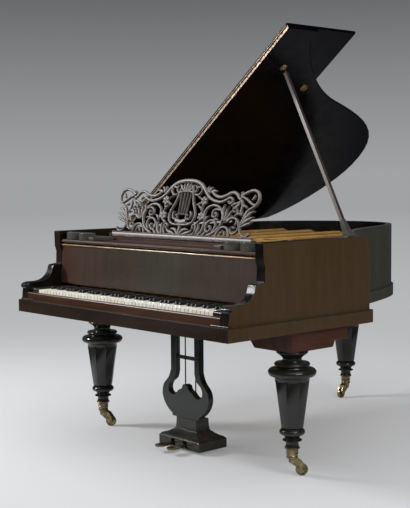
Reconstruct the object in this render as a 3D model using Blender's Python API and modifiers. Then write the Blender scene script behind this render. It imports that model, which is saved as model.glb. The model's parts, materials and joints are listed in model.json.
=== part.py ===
"""Baby grand piano, lid propped open, with its keyboard, fretwork desk, lyre and casters.

Metres, +Z up.  The keyboard faces -Y and the bass side is at -X.  Every piece hangs from
one empty whose origin is at the front of the case, so the depths below are measured from
the front; the empty is set back by half the length, which puts the world's origin in the
middle of the piano's box, on the floor.
"""
import math

import bmesh
import bpy
from mathutils import Matrix, Vector

# clearances
GAP = 0.0003
WIDE_GAP = 0.0006
CUT_MARGIN = 0.01

# keyboard
WHITE_KEYS = 50
KEY_PITCH = 0.0235
KEY_SLIT = 0.0008
KEY_FRONT = 0.034
KEY_HEAD = 0.050
KEY_TOP = 0.699
KEY_UNDERSIDE = 0.6725
KEY_REAR = 0.398
KEY_BAR_DEPTH = 0.030
FREE_KEY_REAR = 0.385
KEY_PIVOT_DEPTH = 0.254
SHARP_WIDTH = 0.0114
SHARP_ROOM = 0.0126
SHARP_FRONT_ROOM = 0.0018
SHARP_TOP = 0.7105
SHARP_STICK_TOP = 0.690
SHARP_CAP_REAR = 0.185
SHARP_BAR_DEPTH = 0.024
SHARP_BAR_HEIGHT = 0.0043
FIRST_WHITE_NOTE = 5
FREE_WHITES = (23, 24, 25, 26)
FREE_SHARPS = (23, 24)
NOTE_NAMES = ("c", "d", "e", "f", "g", "a", "b")
NO_SHARP_AFTER = (2, 6)

# case
HALF_WIDTH = 0.695
SIDE_THICKNESS = 0.045
BEND_THICKNESS = 0.030
PLINTH_PROUD = 0.010
CASE_BOTTOM = 0.594
PLINTH_TOP = 0.649
RIM_TOP = 0.959
CHEEK_END = 0.834
BEND_START = 0.826
SPINE_END = 1.530
TAIL_DEPTH = 1.907
TAIL_CENTRE_X = -0.205
BEND_MIDDLE = (0.262, 1.345)
CHEEK_PULL = (-0.1677, 0.126)
BEND_PULL_IN = (0.066, -0.200)
BEND_PULL_OUT = (-0.122, 0.371)
TAIL_PULL_TREBLE = (0.255, 0.0)
TAIL_PULL_BASS = (-0.195, 0.0)
SPINE_PULL = (0.005, 0.150)
LID_OVERHANG = 0.013
CURVE_STEPS = 11

# arm profile, as depth and height
ARM_STEP_DEPTH = 0.012
ARM_NOSE_DEPTH = 0.016
ARM_NOSE_HEIGHT = 0.700
ARM_TOP_HEIGHT = 0.730
ARM_SCROLL_START = 0.080
ARM_SCROLL_END = 0.160
ARM_SHELF_HEIGHT = 0.803
ARM_SHELF_DEPTH = 0.205
ARM_CHEEK_HEIGHT = 0.887

# key bed, frame and blocks
KEY_BED_TOP = 0.632
KEY_BED_REAR = 0.440
KEY_FRAME_FRONT = 0.050
KEY_FRAME_REAR = 0.410
BALANCE_RAIL_WIDTH = 0.022
KEY_FRAME_THICKNESS = 0.018
SLIP_FRONT = 0.012
SLIP_REAR = 0.031
SLIP_TOP = 0.686
KEY_BLOCK_TOP = 0.705
KEY_BLOCK_REAR = 0.196

# fallboard
FALL_AXIS_DEPTH = 0.209
FALL_AXIS_HEIGHT = 0.7225
FALL_THICKNESS = 0.018
FALL_LENGTH = 0.177
FALL_LEAN = math.radians(4)
FALL_LIP = 0.004

# music tray, candle boards and desk
TRAY_FRONT = 0.205
TRAY_REAR = 0.610
TRAY_UNDERSIDE = 0.905
TRAY_THICKNESS = 0.016
TRAY_LEDGE_FRONT = 0.335
TRAY_LEDGE_DEPTH = 0.050
TRAY_LEDGE_HEIGHT = 0.0125
CANDLE_INNER_X = 0.405
CANDLE_REAR = 0.330
CANDLE_HEIGHT = 0.034
CANDLE_NOSE = 0.030
DESK_DEPTH = 0.366
DESK_HALF_WIDTH = 0.462
DESK_LUG_WIDTH = 0.016
DESK_LUG_HALF = 0.008
DESK_LIFT = 0.0088
DESK_STRIP_TOP = 0.030
DESK_THICKNESS = 0.012
DESK_LEAN = math.radians(16.7)
STRUT_ON_DESK = 0.135
STRUT_ANGLE = math.radians(49.5)
STRUT_WIDTH = 0.016
STRUT_THICKNESS = 0.005

# lid, flap and hinges
LID_ANGLE = math.radians(38.5)
LID_AXIS_X = -0.6975
LID_AXIS_ABOVE_RIM = 0.0018
LID_LIFT = 0.0017
LID_THICKNESS = 0.016
LID_SPINE_EDGE = 0.005
FLAP_AXIS_DEPTH = 0.654
FLAP_THICKNESS = 0.015
FLAP_FRONT = 0.201
FLAP_SPINE_EDGE = 0.017
FLAP_HINGE_RADIUS = 0.0028
FLAP_EDGE_ROOM = 0.0033
LID_KNUCKLE_RADIUS = 0.0022
LID_HINGE_LENGTH = 0.100
LID_HINGE_LEAF = 0.035
LID_HINGE_DEPTHS = {"lid_hinge_front": 0.86, "lid_hinge_rear": 1.36}

# props
PROP_FOOT = (0.624, 0.785, 0.947)
PROP_TIP_ALONG_LID = 1.173
PROP_TIP_DEPTH = 0.811
PROP_TIP_CLEARANCE = 0.005
PROP_WIDTH = 0.016
PROP_BALL_RADIUS = 0.0097
PROP_CAP_RADIUS = 0.0095
PROP_CAP_LENGTH = 0.024
PROP_PIN_LENGTH = 0.008
PROP_STICK_START = 0.004
HALF_PROP_FOOT = (0.624, 0.740, 0.947)
HALF_PROP_LENGTH = 0.240
HALF_PROP_WIDTH = 0.012
BRACKET_FRONT = 0.696
BRACKET_CLEARANCE = 0.003
BRACKET_BELOW_RIM = 0.002

# iron frame, soundboard and strings
SOUNDBOARD_BELOW_RIM = 0.109
SOUNDBOARD_HEIGHT = RIM_TOP - SOUNDBOARD_BELOW_RIM
SOUNDBOARD_THICKNESS = 0.009
BRIDGE_HEIGHT = 0.0429
STRING_HEIGHT = SOUNDBOARD_HEIGHT + SOUNDBOARD_THICKNESS + BRIDGE_HEIGHT + 2 * GAP
STRING_THICKNESS = 0.0015
PLATE_BELOW_STRINGS = 0.0145
PLATE_ABOVE_STRINGS = 0.0275
PLATE_WEB_THICKNESS = 0.014
PLATE_BOTTOM = STRING_HEIGHT - PLATE_BELOW_STRINGS
PLATE_FRONT_TOP = PLATE_BOTTOM + PLATE_WEB_THICKNESS
PLATE_TOP = STRING_HEIGHT + PLATE_ABOVE_STRINGS
PLATE_BORDER = 0.055
PLATE_FRONT = 0.460
PLATE_BAR_FRONT = 0.662
PLATE_BAR_REAR = 0.700
STRUT_BAR_WIDTH = 0.022
STRUT_BAR_OVER_STRINGS = 0.0015
STRUT_BAR_BELOW_PLATE = 0.001
STRUT_BAR_BOTTOM = STRING_HEIGHT + STRING_THICKNESS + STRUT_BAR_OVER_STRINGS
STRUT_BAR_TOP = PLATE_TOP - STRUT_BAR_BELOW_PLATE
STRUT_BAR_XS = (-0.430, -0.235, -0.040, 0.150)
PIN_BLOCK_THICKNESS = 0.043
PIN_BLOCK_BOTTOM = PLATE_BOTTOM - PIN_BLOCK_THICKNESS
PIN_BLOCK_REAR = 0.640
STRING_WIDTH = 0.0025
STRING_PITCH = 0.024
STRING_STRIP = 0.008
STRING_SIDE_ROOM = 0.020
BRIDGE_WIDTH = 0.030
BRIDGE_TREBLE_X = 0.400
BRIDGE_TREBLE_DEPTH = 0.840
BRIDGE_TREBLE_PULL = (-0.220, 0.200)
BRIDGE_BASS_ROOM = 0.080
BRIDGE_BASS_PULL = (0.420, 0.060)
DAMPER_DEPTH = 0.735
DAMPER_RAIL_DEPTH = 0.026
DAMPER_RAIL_HEIGHT = 0.018
DAMPER_RAIL_TOP = STRUT_BAR_TOP + DAMPER_RAIL_HEIGHT
DAMPER_RAIL_END_X = 0.340
DAMPER_PITCH = 0.039
DAMPER_WIDTH = 0.022

# beams under the soundboard
BEAM_HEIGHT = 0.060
BEAM_FRONT = 0.520
BEAM_WIDTH = 0.070
TREBLE_BEAM_X = 0.205
TREBLE_BEAM_END = 1.250
BASS_BEAM_X = -0.515
BASS_BEAM_END = 1.600

# legs
LEG_X = 0.631
LEG_DEPTH = 0.425
REAR_LEG_X = -0.258
REAR_LEG_SETBACK = 0.107
BLOCK_BOTTOM = 0.513
BLOCK_FRONT = 0.365
BLOCK_REAR = 0.610
BLOCK_TAIL = 0.700
BLOCK_INNER_X = 0.480
BLOCK_OUTER_X = 0.688
BLOCK_SLANT = 0.075
BLOCK_SHELF = 0.540
REAR_BLOCK_HALF = 0.085
REAR_BLOCK_SETBACK = 0.008
SHAFT_TOP = 0.3925
SHAFT_BOTTOM = 0.202
SHAFT_TOP_FLATS = 0.136
SHAFT_BOTTOM_FLATS = 0.0875
TORUS_RADIUS = 0.098
TORUS_HEIGHT = 0.427
TORUS_HALF = 0.016
LEG_FOOT = 0.1213
TURNING_SIDES = 16

# casters
SOCKET_RING_RADIUS = 0.032
SOCKET_RADIUS = 0.022
SOCKET_BOTTOM = 0.0755
WHEEL_RADIUS = 0.025
WHEEL_WIDTH = 0.0175
WHEEL_TRAIL = 0.041
WHEEL_SIDE_GAP = 0.0012
FORK_CHEEK = 0.005
AXLE_RADIUS = 0.004
CASTERS = {"bass": 0.484, "treble": 1.113, "rear": -1.517}

# lyre and pedals
LYRE_FRONT = 0.409
LYRE_THICKNESS = 0.020
LYRE_PILLAR_OUTER = 0.0905
LYRE_PILLAR_WIDTH = 0.030
LYRE_CAP_HALF = 0.105
LYRE_CAP_BOTTOM = 0.572
LYRE_BELLY_HALF = 0.147
LYRE_NECK_HALF = 0.085
LYRE_BOTTOM = 0.138
BASE_HALF = 0.135
BASE_FRONT = 0.365
BASE_REAR = 0.530
BASE_BOTTOM = 0.012
BASE_BLOCK_TOP = 0.058
BASE_COVE_TOP = 0.122
BASE_TOP_HALF = 0.092
CROSSBAR_HEIGHT = 0.409
PEDAL_X = 0.040
PEDAL_HEIGHT = 0.030
PEDAL_THICKNESS = 0.008
PEDAL_PIVOT_DEPTH = 0.393
PEDAL_TIP = 0.268
PEDAL_REAR = 0.452
PEDAL_BAR_HALF = 0.009
PEDAL_PAD_HALF = 0.023
PEDAL_PIN_RADIUS = 0.003
PEDAL_SLOT_ROOM = 0.004
ROD_X = 0.034
ROD_DEPTH = 0.438
ROD_RADIUS = 0.003
ROD_HOLE_RADIUS = 0.0055
ROD_TOP = 0.606

CASE_LENGTH = TAIL_DEPTH + LID_OVERHANG
REAR_LEG_DEPTH = TAIL_DEPTH - REAR_LEG_SETBACK
SHARP_REAR = KEY_REAR - KEY_BAR_DEPTH - WIDE_GAP
KEYBOARD_HALF = WHITE_KEYS * KEY_PITCH / 2
INNER_X = HALF_WIDTH - SIDE_THICKNESS
FALL_HALF_WIDTH = INNER_X - WIDE_GAP
TRAY_TOP = TRAY_UNDERSIDE + TRAY_THICKNESS
LID_AXIS_HEIGHT = RIM_TOP + LID_AXIS_ABOVE_RIM


# scene and materials

for old in list(bpy.data.objects):
    bpy.data.objects.remove(old, do_unlink=True)

PARTS = bpy.data.collections.new("baby_grand_piano")
bpy.context.scene.collection.children.link(PARTS)


def principled(name, colour, roughness, metallic=0.0):
    """A plain material with a base colour, roughness and metallic value."""
    material = bpy.data.materials.new(name)
    material.use_nodes = True
    shader = material.node_tree.nodes["Principled BSDF"]
    shader.inputs["Base Color"].default_value = (*colour, 1.0)
    shader.inputs["Roughness"].default_value = roughness
    shader.inputs["Metallic"].default_value = metallic
    material.diffuse_color = (*colour, 1.0)
    return material


EBONISED = principled("ebonised_wood", (0.020, 0.015, 0.012), 0.30)
CASE_WOOD = principled("case_veneer", (0.045, 0.030, 0.018), 0.35)
ROSEWOOD = principled("rosewood", (0.080, 0.030, 0.022), 0.35)
SOFTWOOD = principled("spruce", (0.450, 0.280, 0.120), 0.55)
BEECH = principled("beech", (0.350, 0.220, 0.120), 0.60)
IVORY = principled("ivory", (0.820, 0.780, 0.660), 0.35)
EBONY = principled("ebony", (0.012, 0.011, 0.010), 0.35)
GILT = principled("gilt_iron", (0.520, 0.330, 0.100), 0.40, 0.8)
STEEL = principled("steel_wire", (0.550, 0.540, 0.520), 0.30, 1.0)
BRASS = principled("brass", (0.560, 0.400, 0.180), 0.32, 1.0)
FRETWOOD = principled("ebonised_fretwork", (0.060, 0.055, 0.053), 0.40)


def empty(name, location, rotation=(0.0, 0.0, 0.0), parent=None):
    """An empty that carries pieces, with its origin on their joint's axis."""
    holder = bpy.data.objects.new(name, None)
    holder.empty_display_size = 0.05
    holder.location = location
    holder.rotation_euler = rotation
    holder.parent = parent
    PARTS.objects.link(holder)
    return holder


PIANO = empty("piano", (0.0, -CASE_LENGTH / 2, 0.0))


# modelling helpers

def finish_piece(piece, name, material, parent, location=(0, 0, 0), rotation=None):
    """Name a piece, give it its material and hang it from its parent."""
    piece.name = name
    piece.data.name = name
    piece.data.materials.clear()
    piece.data.materials.append(material)
    piece.parent = parent or PIANO
    if location is not None:
        piece.location = location
    if rotation is not None:
        piece.rotation_euler = rotation
    return piece


def mesh_object(name, bm):
    """An object in the parts collection from a bmesh."""
    mesh = bpy.data.meshes.new(name)
    bm.to_mesh(mesh)
    bm.free()
    piece = bpy.data.objects.new(name, mesh)
    PARTS.objects.link(piece)
    return piece


def box(name, low, high):
    """A box between two corners."""
    bm = bmesh.new()
    bmesh.ops.create_cube(bm, size=1.0)
    low = Vector(low)
    high = Vector(high)
    middle = (low + high) / 2
    for vertex in bm.verts:
        vertex.co = middle + Vector(c * s for c, s in zip(vertex.co, high - low))
    return mesh_object(name, bm)


def cylinder(name, start, end, radius, sides=16, end_radius=None):
    """A cylinder or cone along the line from start to end."""
    start = Vector(start)
    end = Vector(end)
    axis = end - start
    turn = Vector((0, 0, 1)).rotation_difference(axis).to_matrix().to_4x4()
    bm = bmesh.new()
    bmesh.ops.create_cone(
        bm, cap_ends=True, segments=sides, depth=axis.length, radius1=radius,
        radius2=radius if end_radius is None else end_radius,
        matrix=Matrix.Translation((start + end) / 2) @ turn)
    return mesh_object(name, bm)


def ball(name, centre, radius, sides=12):
    """A sphere of a few faces."""
    bm = bmesh.new()
    bmesh.ops.create_uvsphere(bm, u_segments=sides, v_segments=sides // 2, radius=radius,
                              matrix=Matrix.Translation(centre))
    return mesh_object(name, bm)


def evaluated_mesh(piece):
    """The piece's mesh with its modifiers, welded into one closed skin."""
    bpy.context.view_layer.update()
    graph = bpy.context.evaluated_depsgraph_get()
    mesh = bpy.data.meshes.new_from_object(piece.evaluated_get(graph))
    bm = bmesh.new()
    bm.from_mesh(mesh)
    bmesh.ops.remove_doubles(bm, verts=bm.verts, dist=0.00001)
    bm.to_mesh(mesh)
    bm.free()
    return mesh


def as_mesh(piece):
    """A mesh object in place of a curve or of a piece with modifiers."""
    solid = bpy.data.objects.new(piece.name + "_solid", evaluated_mesh(piece))
    PARTS.objects.link(solid)
    solid.data.transform(piece.matrix_world)
    bpy.data.objects.remove(piece, do_unlink=True)
    return solid


def combine(piece, other, operation="UNION"):
    """Join another solid to a piece, or cut it away, and drop the other solid."""
    boolean = piece.modifiers.new("combine", "BOOLEAN")
    boolean.operation = operation
    boolean.solver = "EXACT"
    boolean.object = other
    mesh = evaluated_mesh(piece)
    piece.modifiers.clear()
    piece.data = mesh
    bpy.data.objects.remove(other, do_unlink=True)
    return piece


def flat_shape(name, outline, thickness, holes=(), plane="XY", at=0.0):
    """A flat outline with holes, drawn in a plane and given its thickness from `at` on.

    XY outlines rise in Z, XZ outlines run back in Y and YZ outlines run across in X.
    """
    curve = bpy.data.curves.new(name, "CURVE")
    curve.dimensions = "2D"
    curve.fill_mode = "BOTH"
    curve.extrude = thickness / 2
    for points in (outline, *holes):
        spline = curve.splines.new("POLY")
        spline.points.add(len(points) - 1)
        for spot, (a, b) in zip(spline.points, points):
            spot.co = (a, b, 0.0, 1.0)
        spline.use_cyclic_u = True
    piece = bpy.data.objects.new(name, curve)
    PARTS.objects.link(piece)
    middle = at + thickness / 2
    if plane == "XY":
        piece.location = (0.0, 0.0, middle)
    elif plane == "XZ":
        piece.location = (0.0, middle, 0.0)
        piece.rotation_euler = (math.pi / 2, 0.0, 0.0)
    else:
        piece.location = (middle, 0.0, 0.0)
        piece.rotation_euler = (math.pi / 2, 0.0, math.pi / 2)
    return piece


def turned(name, profile, ring=False, steps=TURNING_SIDES):
    """A turned solid from a profile of radius and height, top to bottom.

    A ring's profile is closed and stays clear of the axis.
    """
    bm = bmesh.new()
    verts = [bm.verts.new((radius, 0.0, height)) for radius, height in profile]
    following = verts[1:] + verts[:1] if ring else verts[1:]
    for first, second in zip(verts, following):
        bm.edges.new((first, second))
    piece = mesh_object(name, bm)
    screw = piece.modifiers.new("turn", "SCREW")
    screw.steps = steps
    screw.render_steps = steps
    screw.use_merge_vertices = True
    screw.merge_threshold = 0.00001
    return piece


def stack(name, levels):
    """A loft of level rectangles, each a height, half width, front and rear."""
    bm = bmesh.new()
    rings = []
    for height, half, front, rear in levels:
        corners = ((-half, front), (half, front), (half, rear), (-half, rear))
        rings.append([bm.verts.new((x, y, height)) for x, y in corners])
    for lower, upper in zip(rings, rings[1:]):
        for k in range(4):
            n = (k + 1) % 4
            bm.faces.new((lower[k], lower[n], upper[n], upper[k]))
    bm.faces.new(reversed(rings[0]))
    bm.faces.new(rings[-1])
    return mesh_object(name, bm)


def bezier(p0, p1, p2, p3, steps):
    """Points along a cubic curve, the first left out."""
    points = []
    for k in range(1, steps + 1):
        t = k / steps
        s = 1 - t
        weights = (s ** 3, 3 * s * s * t, 3 * s * t * t, t ** 3)
        points.append(tuple(sum(w * p[i] for w, p in zip(weights, (p0, p1, p2, p3)))
                            for i in range(2)))
    return points


def shifted(point, move):
    """A point moved in its plane."""
    return (point[0] + move[0], point[1] + move[1])


def ribbon(path, width):
    """A closed outline of even width along a path."""
    sides = ([], [])
    for k, point in enumerate(path):
        along = Vector(path[min(k + 1, len(path) - 1)]) - Vector(path[max(k - 1, 0)])
        along.normalize()
        for side, reach in zip(sides, (width / 2, -width / 2)):
            side.append((point[0] + along.y * reach, point[1] - along.x * reach))
    return sides[0] + sides[1][::-1]


def smooth(points, steps=2, closed=False):
    """Points on a Catmull-Rom curve through the given ones."""
    count = len(points)
    result = []
    spans = count if closed else count - 1
    for k in range(spans):
        near = []
        for n in range(k - 1, k + 3):
            near.append(points[n % count] if closed else points[min(max(n, 0), count - 1)])
        p0, p1, p2, p3 = (Vector(p) for p in near)
        for j in range(steps):
            t = j / steps
            spot = 0.5 * ((2 * p1) + (p2 - p0) * t + (2 * p0 - 5 * p1 + 4 * p2 - p3) * t ** 2
                          + (3 * p1 - p0 - 3 * p2 + p3) * t ** 3)
            result.append((spot.x, spot.y))
    if not closed:
        result.append(tuple(points[-1]))
    return result


def arc(centre, radius, start, end, steps):
    """Points on an arc between two angles in radians."""
    return [(centre[0] + radius * math.cos(start + (end - start) * k / steps),
             centre[1] + radius * math.sin(start + (end - start) * k / steps))
            for k in range(steps + 1)]


def mirrored(half):
    """A closed outline from its right half, given from bottom to top."""
    left = [(-x, y) for x, y in reversed(half) if x > 0.0001]
    return list(half) + left


# the plan of the case

def bend_path(offset):
    """The bent side and tail, from the cheek round to the spine, moved out by offset."""
    start = (INNER_X - GAP, BEND_START)
    middle = BEND_MIDDLE
    tail = (TAIL_CENTRE_X, TAIL_DEPTH)
    end = (-HALF_WIDTH, SPINE_END)
    path = [start]
    path += bezier(start, shifted(start, CHEEK_PULL), shifted(middle, BEND_PULL_IN), middle,
                   CURVE_STEPS)
    path += bezier(middle, shifted(middle, BEND_PULL_OUT), shifted(tail, TAIL_PULL_TREBLE), tail,
                   CURVE_STEPS)
    path += bezier(tail, shifted(tail, TAIL_PULL_BASS), shifted(end, SPINE_PULL), end,
                   CURVE_STEPS)
    moved = []
    for k, point in enumerate(path):
        before = Vector(path[max(k - 1, 0)])
        after = Vector(path[min(k + 1, len(path) - 1)])
        along = (after - before).normalized()
        moved.append((point[0] + along.y * offset, point[1] - along.x * offset))
    moved[-1] = (-HALF_WIDTH - offset, SPINE_END)
    return moved


def outer_plan(front, offset, left_edge_x=None):
    """The plan outside the sides, from a front line back, moved out by offset."""
    edge = HALF_WIDTH + offset
    step = CHEEK_END + offset
    path = bend_path(offset)
    while path[1][1] < step:
        path.pop(0)
    (x0, y0), (x1, y1) = path[:2]
    path[0] = (x0 + (x1 - x0) * (step - y0) / (y1 - y0), step)
    left = -edge if left_edge_x is None else left_edge_x
    return [(left, front), (edge, front), (edge, step)] + path


def bend_inside(inset):
    """The bent side's inner face, run straight on to the treble side, moved in by inset."""
    path = bend_path(-(BEND_THICKNESS + inset))
    edge = INNER_X - GAP - inset
    along = Vector(path[0]) - Vector(path[1])
    corner = Vector(path[0]) + along * ((edge - path[0][0]) / along.x)
    return [tuple(corner)] + path


def inner_plan(front, inset):
    """The plan inside the sides, from a front line back, inset from the inner faces."""
    edge = INNER_X - inset
    path = bend_inside(inset)
    while path[-2][0] < -edge:
        path.pop()
    (x0, y0), (x1, y1) = path[-2:]
    path[-1] = (-edge, y0 + (y1 - y0) * (-edge - x0) / (x1 - x0))
    return [(edge - GAP, front)] + path + [(-edge, front)]


def border_depth(path, x):
    """The depth at which the rear boundary crosses a line of constant x."""
    for (x0, y0), (x1, y1) in zip(path, path[1:]):
        if min(x0, x1) <= x <= max(x0, x1) and x0 != x1:
            return y0 + (y1 - y0) * (x - x0) / (x1 - x0)
    return path[0][1]


# case

def arm_profile():
    """The side's front end, from the bottom corner up to the rim's top."""
    front = PLINTH_PROUD
    scroll = bezier((ARM_SCROLL_START, ARM_TOP_HEIGHT), (0.122, 0.733), (0.150, 0.752),
                    (ARM_SCROLL_END, ARM_SHELF_HEIGHT - 0.004), 5)
    return [(front, CASE_BOTTOM), (front, PLINTH_TOP), (ARM_STEP_DEPTH, PLINTH_TOP + 0.006),
            (ARM_NOSE_DEPTH, ARM_NOSE_HEIGHT), (0.0145, 0.717), (0.020, 0.726),
            (0.032, ARM_TOP_HEIGHT), (ARM_SCROLL_START, ARM_TOP_HEIGHT), *scroll,
            (0.167, ARM_SHELF_HEIGHT), (ARM_SHELF_DEPTH, ARM_SHELF_HEIGHT + 0.004),
            (ARM_SHELF_DEPTH + 0.002, 0.866), (0.199, ARM_CHEEK_HEIGHT),
            (0.197, RIM_TOP)]


def make_sides():
    """The two straight sides with their arms, and the bent side with the tail."""
    arm = arm_profile()
    spine = arm + [(SPINE_END - GAP, RIM_TOP), (SPINE_END - GAP, CASE_BOTTOM)]
    side = flat_shape("bass_side", spine, SIDE_THICKNESS, plane="YZ", at=-HALF_WIDTH)
    finish_piece(side, "bass_side", CASE_WOOD, PIANO, None)
    cheek = arm + [(CHEEK_END, RIM_TOP), (CHEEK_END, CASE_BOTTOM)]
    side = flat_shape("treble_side", cheek, SIDE_THICKNESS, plane="YZ", at=INNER_X)
    finish_piece(side, "treble_side", CASE_WOOD, PIANO, None)
    bent = flat_shape("bent_side", bend_path(0.0) + bend_inside(0.0)[::-1],
                      RIM_TOP - CASE_BOTTOM, at=CASE_BOTTOM)
    finish_piece(bent, "bent_side", CASE_WOOD, PIANO, None)


def make_plinth():
    """The plinth moulding, one band round the foot of the case."""
    plinth = flat_shape("plinth_band", outer_plan(0.0, PLINTH_PROUD), PLINTH_TOP - CASE_BOTTOM,
                        [outer_plan(PLINTH_PROUD - GAP, GAP)], at=CASE_BOTTOM)
    finish_piece(plinth, "plinth_band", CASE_WOOD, PIANO, None)


def make_bottom():
    """The key bed and the beams that carry the soundboard and the rear leg."""
    bed = box("key_bed", (-INNER_X + GAP, PLINTH_PROUD, CASE_BOTTOM + GAP),
              (INNER_X - GAP, KEY_BED_REAR, KEY_BED_TOP))
    for side in (-1, 1):
        hole = cylinder("rod_hole", (side * ROD_X, ROD_DEPTH, CASE_BOTTOM - CUT_MARGIN),
                        (side * ROD_X, ROD_DEPTH, KEY_BED_TOP + CUT_MARGIN), ROD_HOLE_RADIUS, 10)
        combine(bed, hole, "DIFFERENCE")
    finish_piece(bed, "key_bed", ROSEWOOD, PIANO)
    edge = INNER_X - GAP
    rear = BEAM_FRONT + BEAM_WIDTH
    half = BEAM_WIDTH / 2
    inside = inner_plan(0.0, GAP)[1:-1]
    tail = min(border_depth(inside, REAR_LEG_X - half), border_depth(inside, REAR_LEG_X + half))
    beams = [(-edge, BEAM_FRONT), (edge, BEAM_FRONT), (edge, rear),
             (TREBLE_BEAM_X + half, rear), (TREBLE_BEAM_X + half, TREBLE_BEAM_END),
             (TREBLE_BEAM_X - half, TREBLE_BEAM_END), (TREBLE_BEAM_X - half, rear),
             (REAR_LEG_X + half, rear), (REAR_LEG_X + half, tail),
             (REAR_LEG_X - half, tail), (REAR_LEG_X - half, rear),
             (BASS_BEAM_X + half, rear), (BASS_BEAM_X + half, BASS_BEAM_END),
             (BASS_BEAM_X - half, BASS_BEAM_END), (BASS_BEAM_X - half, rear), (-edge, rear)]
    piece = flat_shape("frame_beams", beams, BEAM_HEIGHT, at=CASE_BOTTOM + GAP)
    finish_piece(piece, "frame_beams", BEECH, PIANO, None)


# strings and what carries them

def make_inside():
    """The soundboard, bridge, pin block, iron frame, strings and damper rail."""
    board = flat_shape("soundboard", inner_plan(PIN_BLOCK_REAR + WIDE_GAP, GAP),
                       SOUNDBOARD_THICKNESS, at=SOUNDBOARD_HEIGHT)
    finish_piece(board, "soundboard", SOFTWOOD, PIANO, None)
    block = box("pin_block", (-INNER_X + GAP, PLATE_FRONT, PIN_BLOCK_BOTTOM),
                (INNER_X - GAP, PIN_BLOCK_REAR, PLATE_BOTTOM - GAP))
    finish_piece(block, "pin_block", BEECH, PIANO)
    opening = inner_plan(PLATE_BAR_REAR, PLATE_BORDER)
    frame = as_mesh(flat_shape("iron_frame", inner_plan(PLATE_BAR_FRONT, GAP),
                               PLATE_TOP - PLATE_BOTTOM, [opening], at=PLATE_BOTTOM))
    web = box("web", (-INNER_X + GAP, PLATE_FRONT, PLATE_BOTTOM),
              (INNER_X - GAP, PLATE_BAR_FRONT + 0.01, PLATE_FRONT_TOP))
    combine(frame, web)
    rear_border = opening[1:-1]
    for x in STRUT_BAR_XS:
        rear = border_depth(rear_border, x) + 0.012
        bar = box("strut", (x - STRUT_BAR_WIDTH / 2, PLATE_BAR_REAR - 0.01, STRUT_BAR_BOTTOM),
                  (x + STRUT_BAR_WIDTH / 2, rear, STRUT_BAR_TOP))
        combine(frame, bar)
    finish_piece(frame, "iron_frame", GILT, PIANO)
    make_strings(rear_border)
    treble = (BRIDGE_TREBLE_X, BRIDGE_TREBLE_DEPTH)
    bass = (-INNER_X + PLATE_BORDER + BRIDGE_BASS_ROOM, SPINE_END - BRIDGE_BASS_ROOM)
    path = [treble] + bezier(treble, shifted(treble, BRIDGE_TREBLE_PULL),
                             shifted(bass, BRIDGE_BASS_PULL), bass, 2 * CURVE_STEPS)
    bridge_bottom = SOUNDBOARD_HEIGHT + SOUNDBOARD_THICKNESS + GAP
    bridge = flat_shape("bridge", ribbon(path, BRIDGE_WIDTH),
                        BRIDGE_HEIGHT, at=bridge_bottom)
    finish_piece(bridge, "bridge", BEECH, PIANO, None)


def make_strings(rear_border):
    """The strings as one comb of wires behind the front bar, and the dampers over them."""
    left = -INNER_X + PLATE_BORDER + STRING_SIDE_ROOM
    right = rear_border[0][0] - STRING_SIDE_ROOM
    count = int((right - left) / STRING_PITCH)
    front = PLATE_BAR_REAR + GAP
    outline = [(left, front), (left + count * STRING_PITCH, front)]
    for k in range(count, -1, -1):
        x = left + k * STRING_PITCH
        lean_in = min(border_depth(rear_border, x - STRING_WIDTH / 2),
                      border_depth(rear_border, x + STRING_WIDTH / 2))
        rear = lean_in - WIDE_GAP
        outline += [(x + STRING_WIDTH / 2, front + STRING_STRIP),
                    (x + STRING_WIDTH / 2, rear), (x - STRING_WIDTH / 2, rear),
                    (x - STRING_WIDTH / 2, front + STRING_STRIP)]
    outline[0] = (left - STRING_WIDTH / 2, front)
    outline[1] = (left + count * STRING_PITCH + STRING_WIDTH / 2, front)
    wires = flat_shape("strings", outline, STRING_THICKNESS, at=STRING_HEIGHT)
    finish_piece(wires, "strings", STEEL, PIANO, None)
    bottom = STRING_HEIGHT + STRING_THICKNESS + GAP
    rail_bottom = STRUT_BAR_TOP + GAP
    end = DAMPER_RAIL_END_X
    outline = [(end, rail_bottom), (end, DAMPER_RAIL_TOP), (left, DAMPER_RAIL_TOP),
               (left, rail_bottom)]
    x = left + 0.006
    while x + DAMPER_WIDTH < end:
        middle = x + DAMPER_WIDTH / 2
        room = (DAMPER_WIDTH + STRUT_BAR_WIDTH) / 2 + 0.001
        if all(abs(middle - bar) > room for bar in STRUT_BAR_XS):
            outline += [(x, rail_bottom), (x, bottom), (x + DAMPER_WIDTH, bottom),
                        (x + DAMPER_WIDTH, rail_bottom)]
        x += DAMPER_PITCH
    rail = flat_shape("damper_rail", outline, DAMPER_RAIL_DEPTH, plane="XZ", at=DAMPER_DEPTH)
    finish_piece(rail, "damper_rail", EBONISED, PIANO, None)


# keyboard

def has_sharp_after(white):
    """Whether a black key stands between this white key and the next."""
    note = (white + FIRST_WHITE_NOTE) % 7
    return note not in NO_SHARP_AFTER and white < WHITE_KEYS - 1


def left_edge(white):
    """The line between a white key and its neighbour on the bass side."""
    return -KEYBOARD_HALF + white * KEY_PITCH


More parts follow.
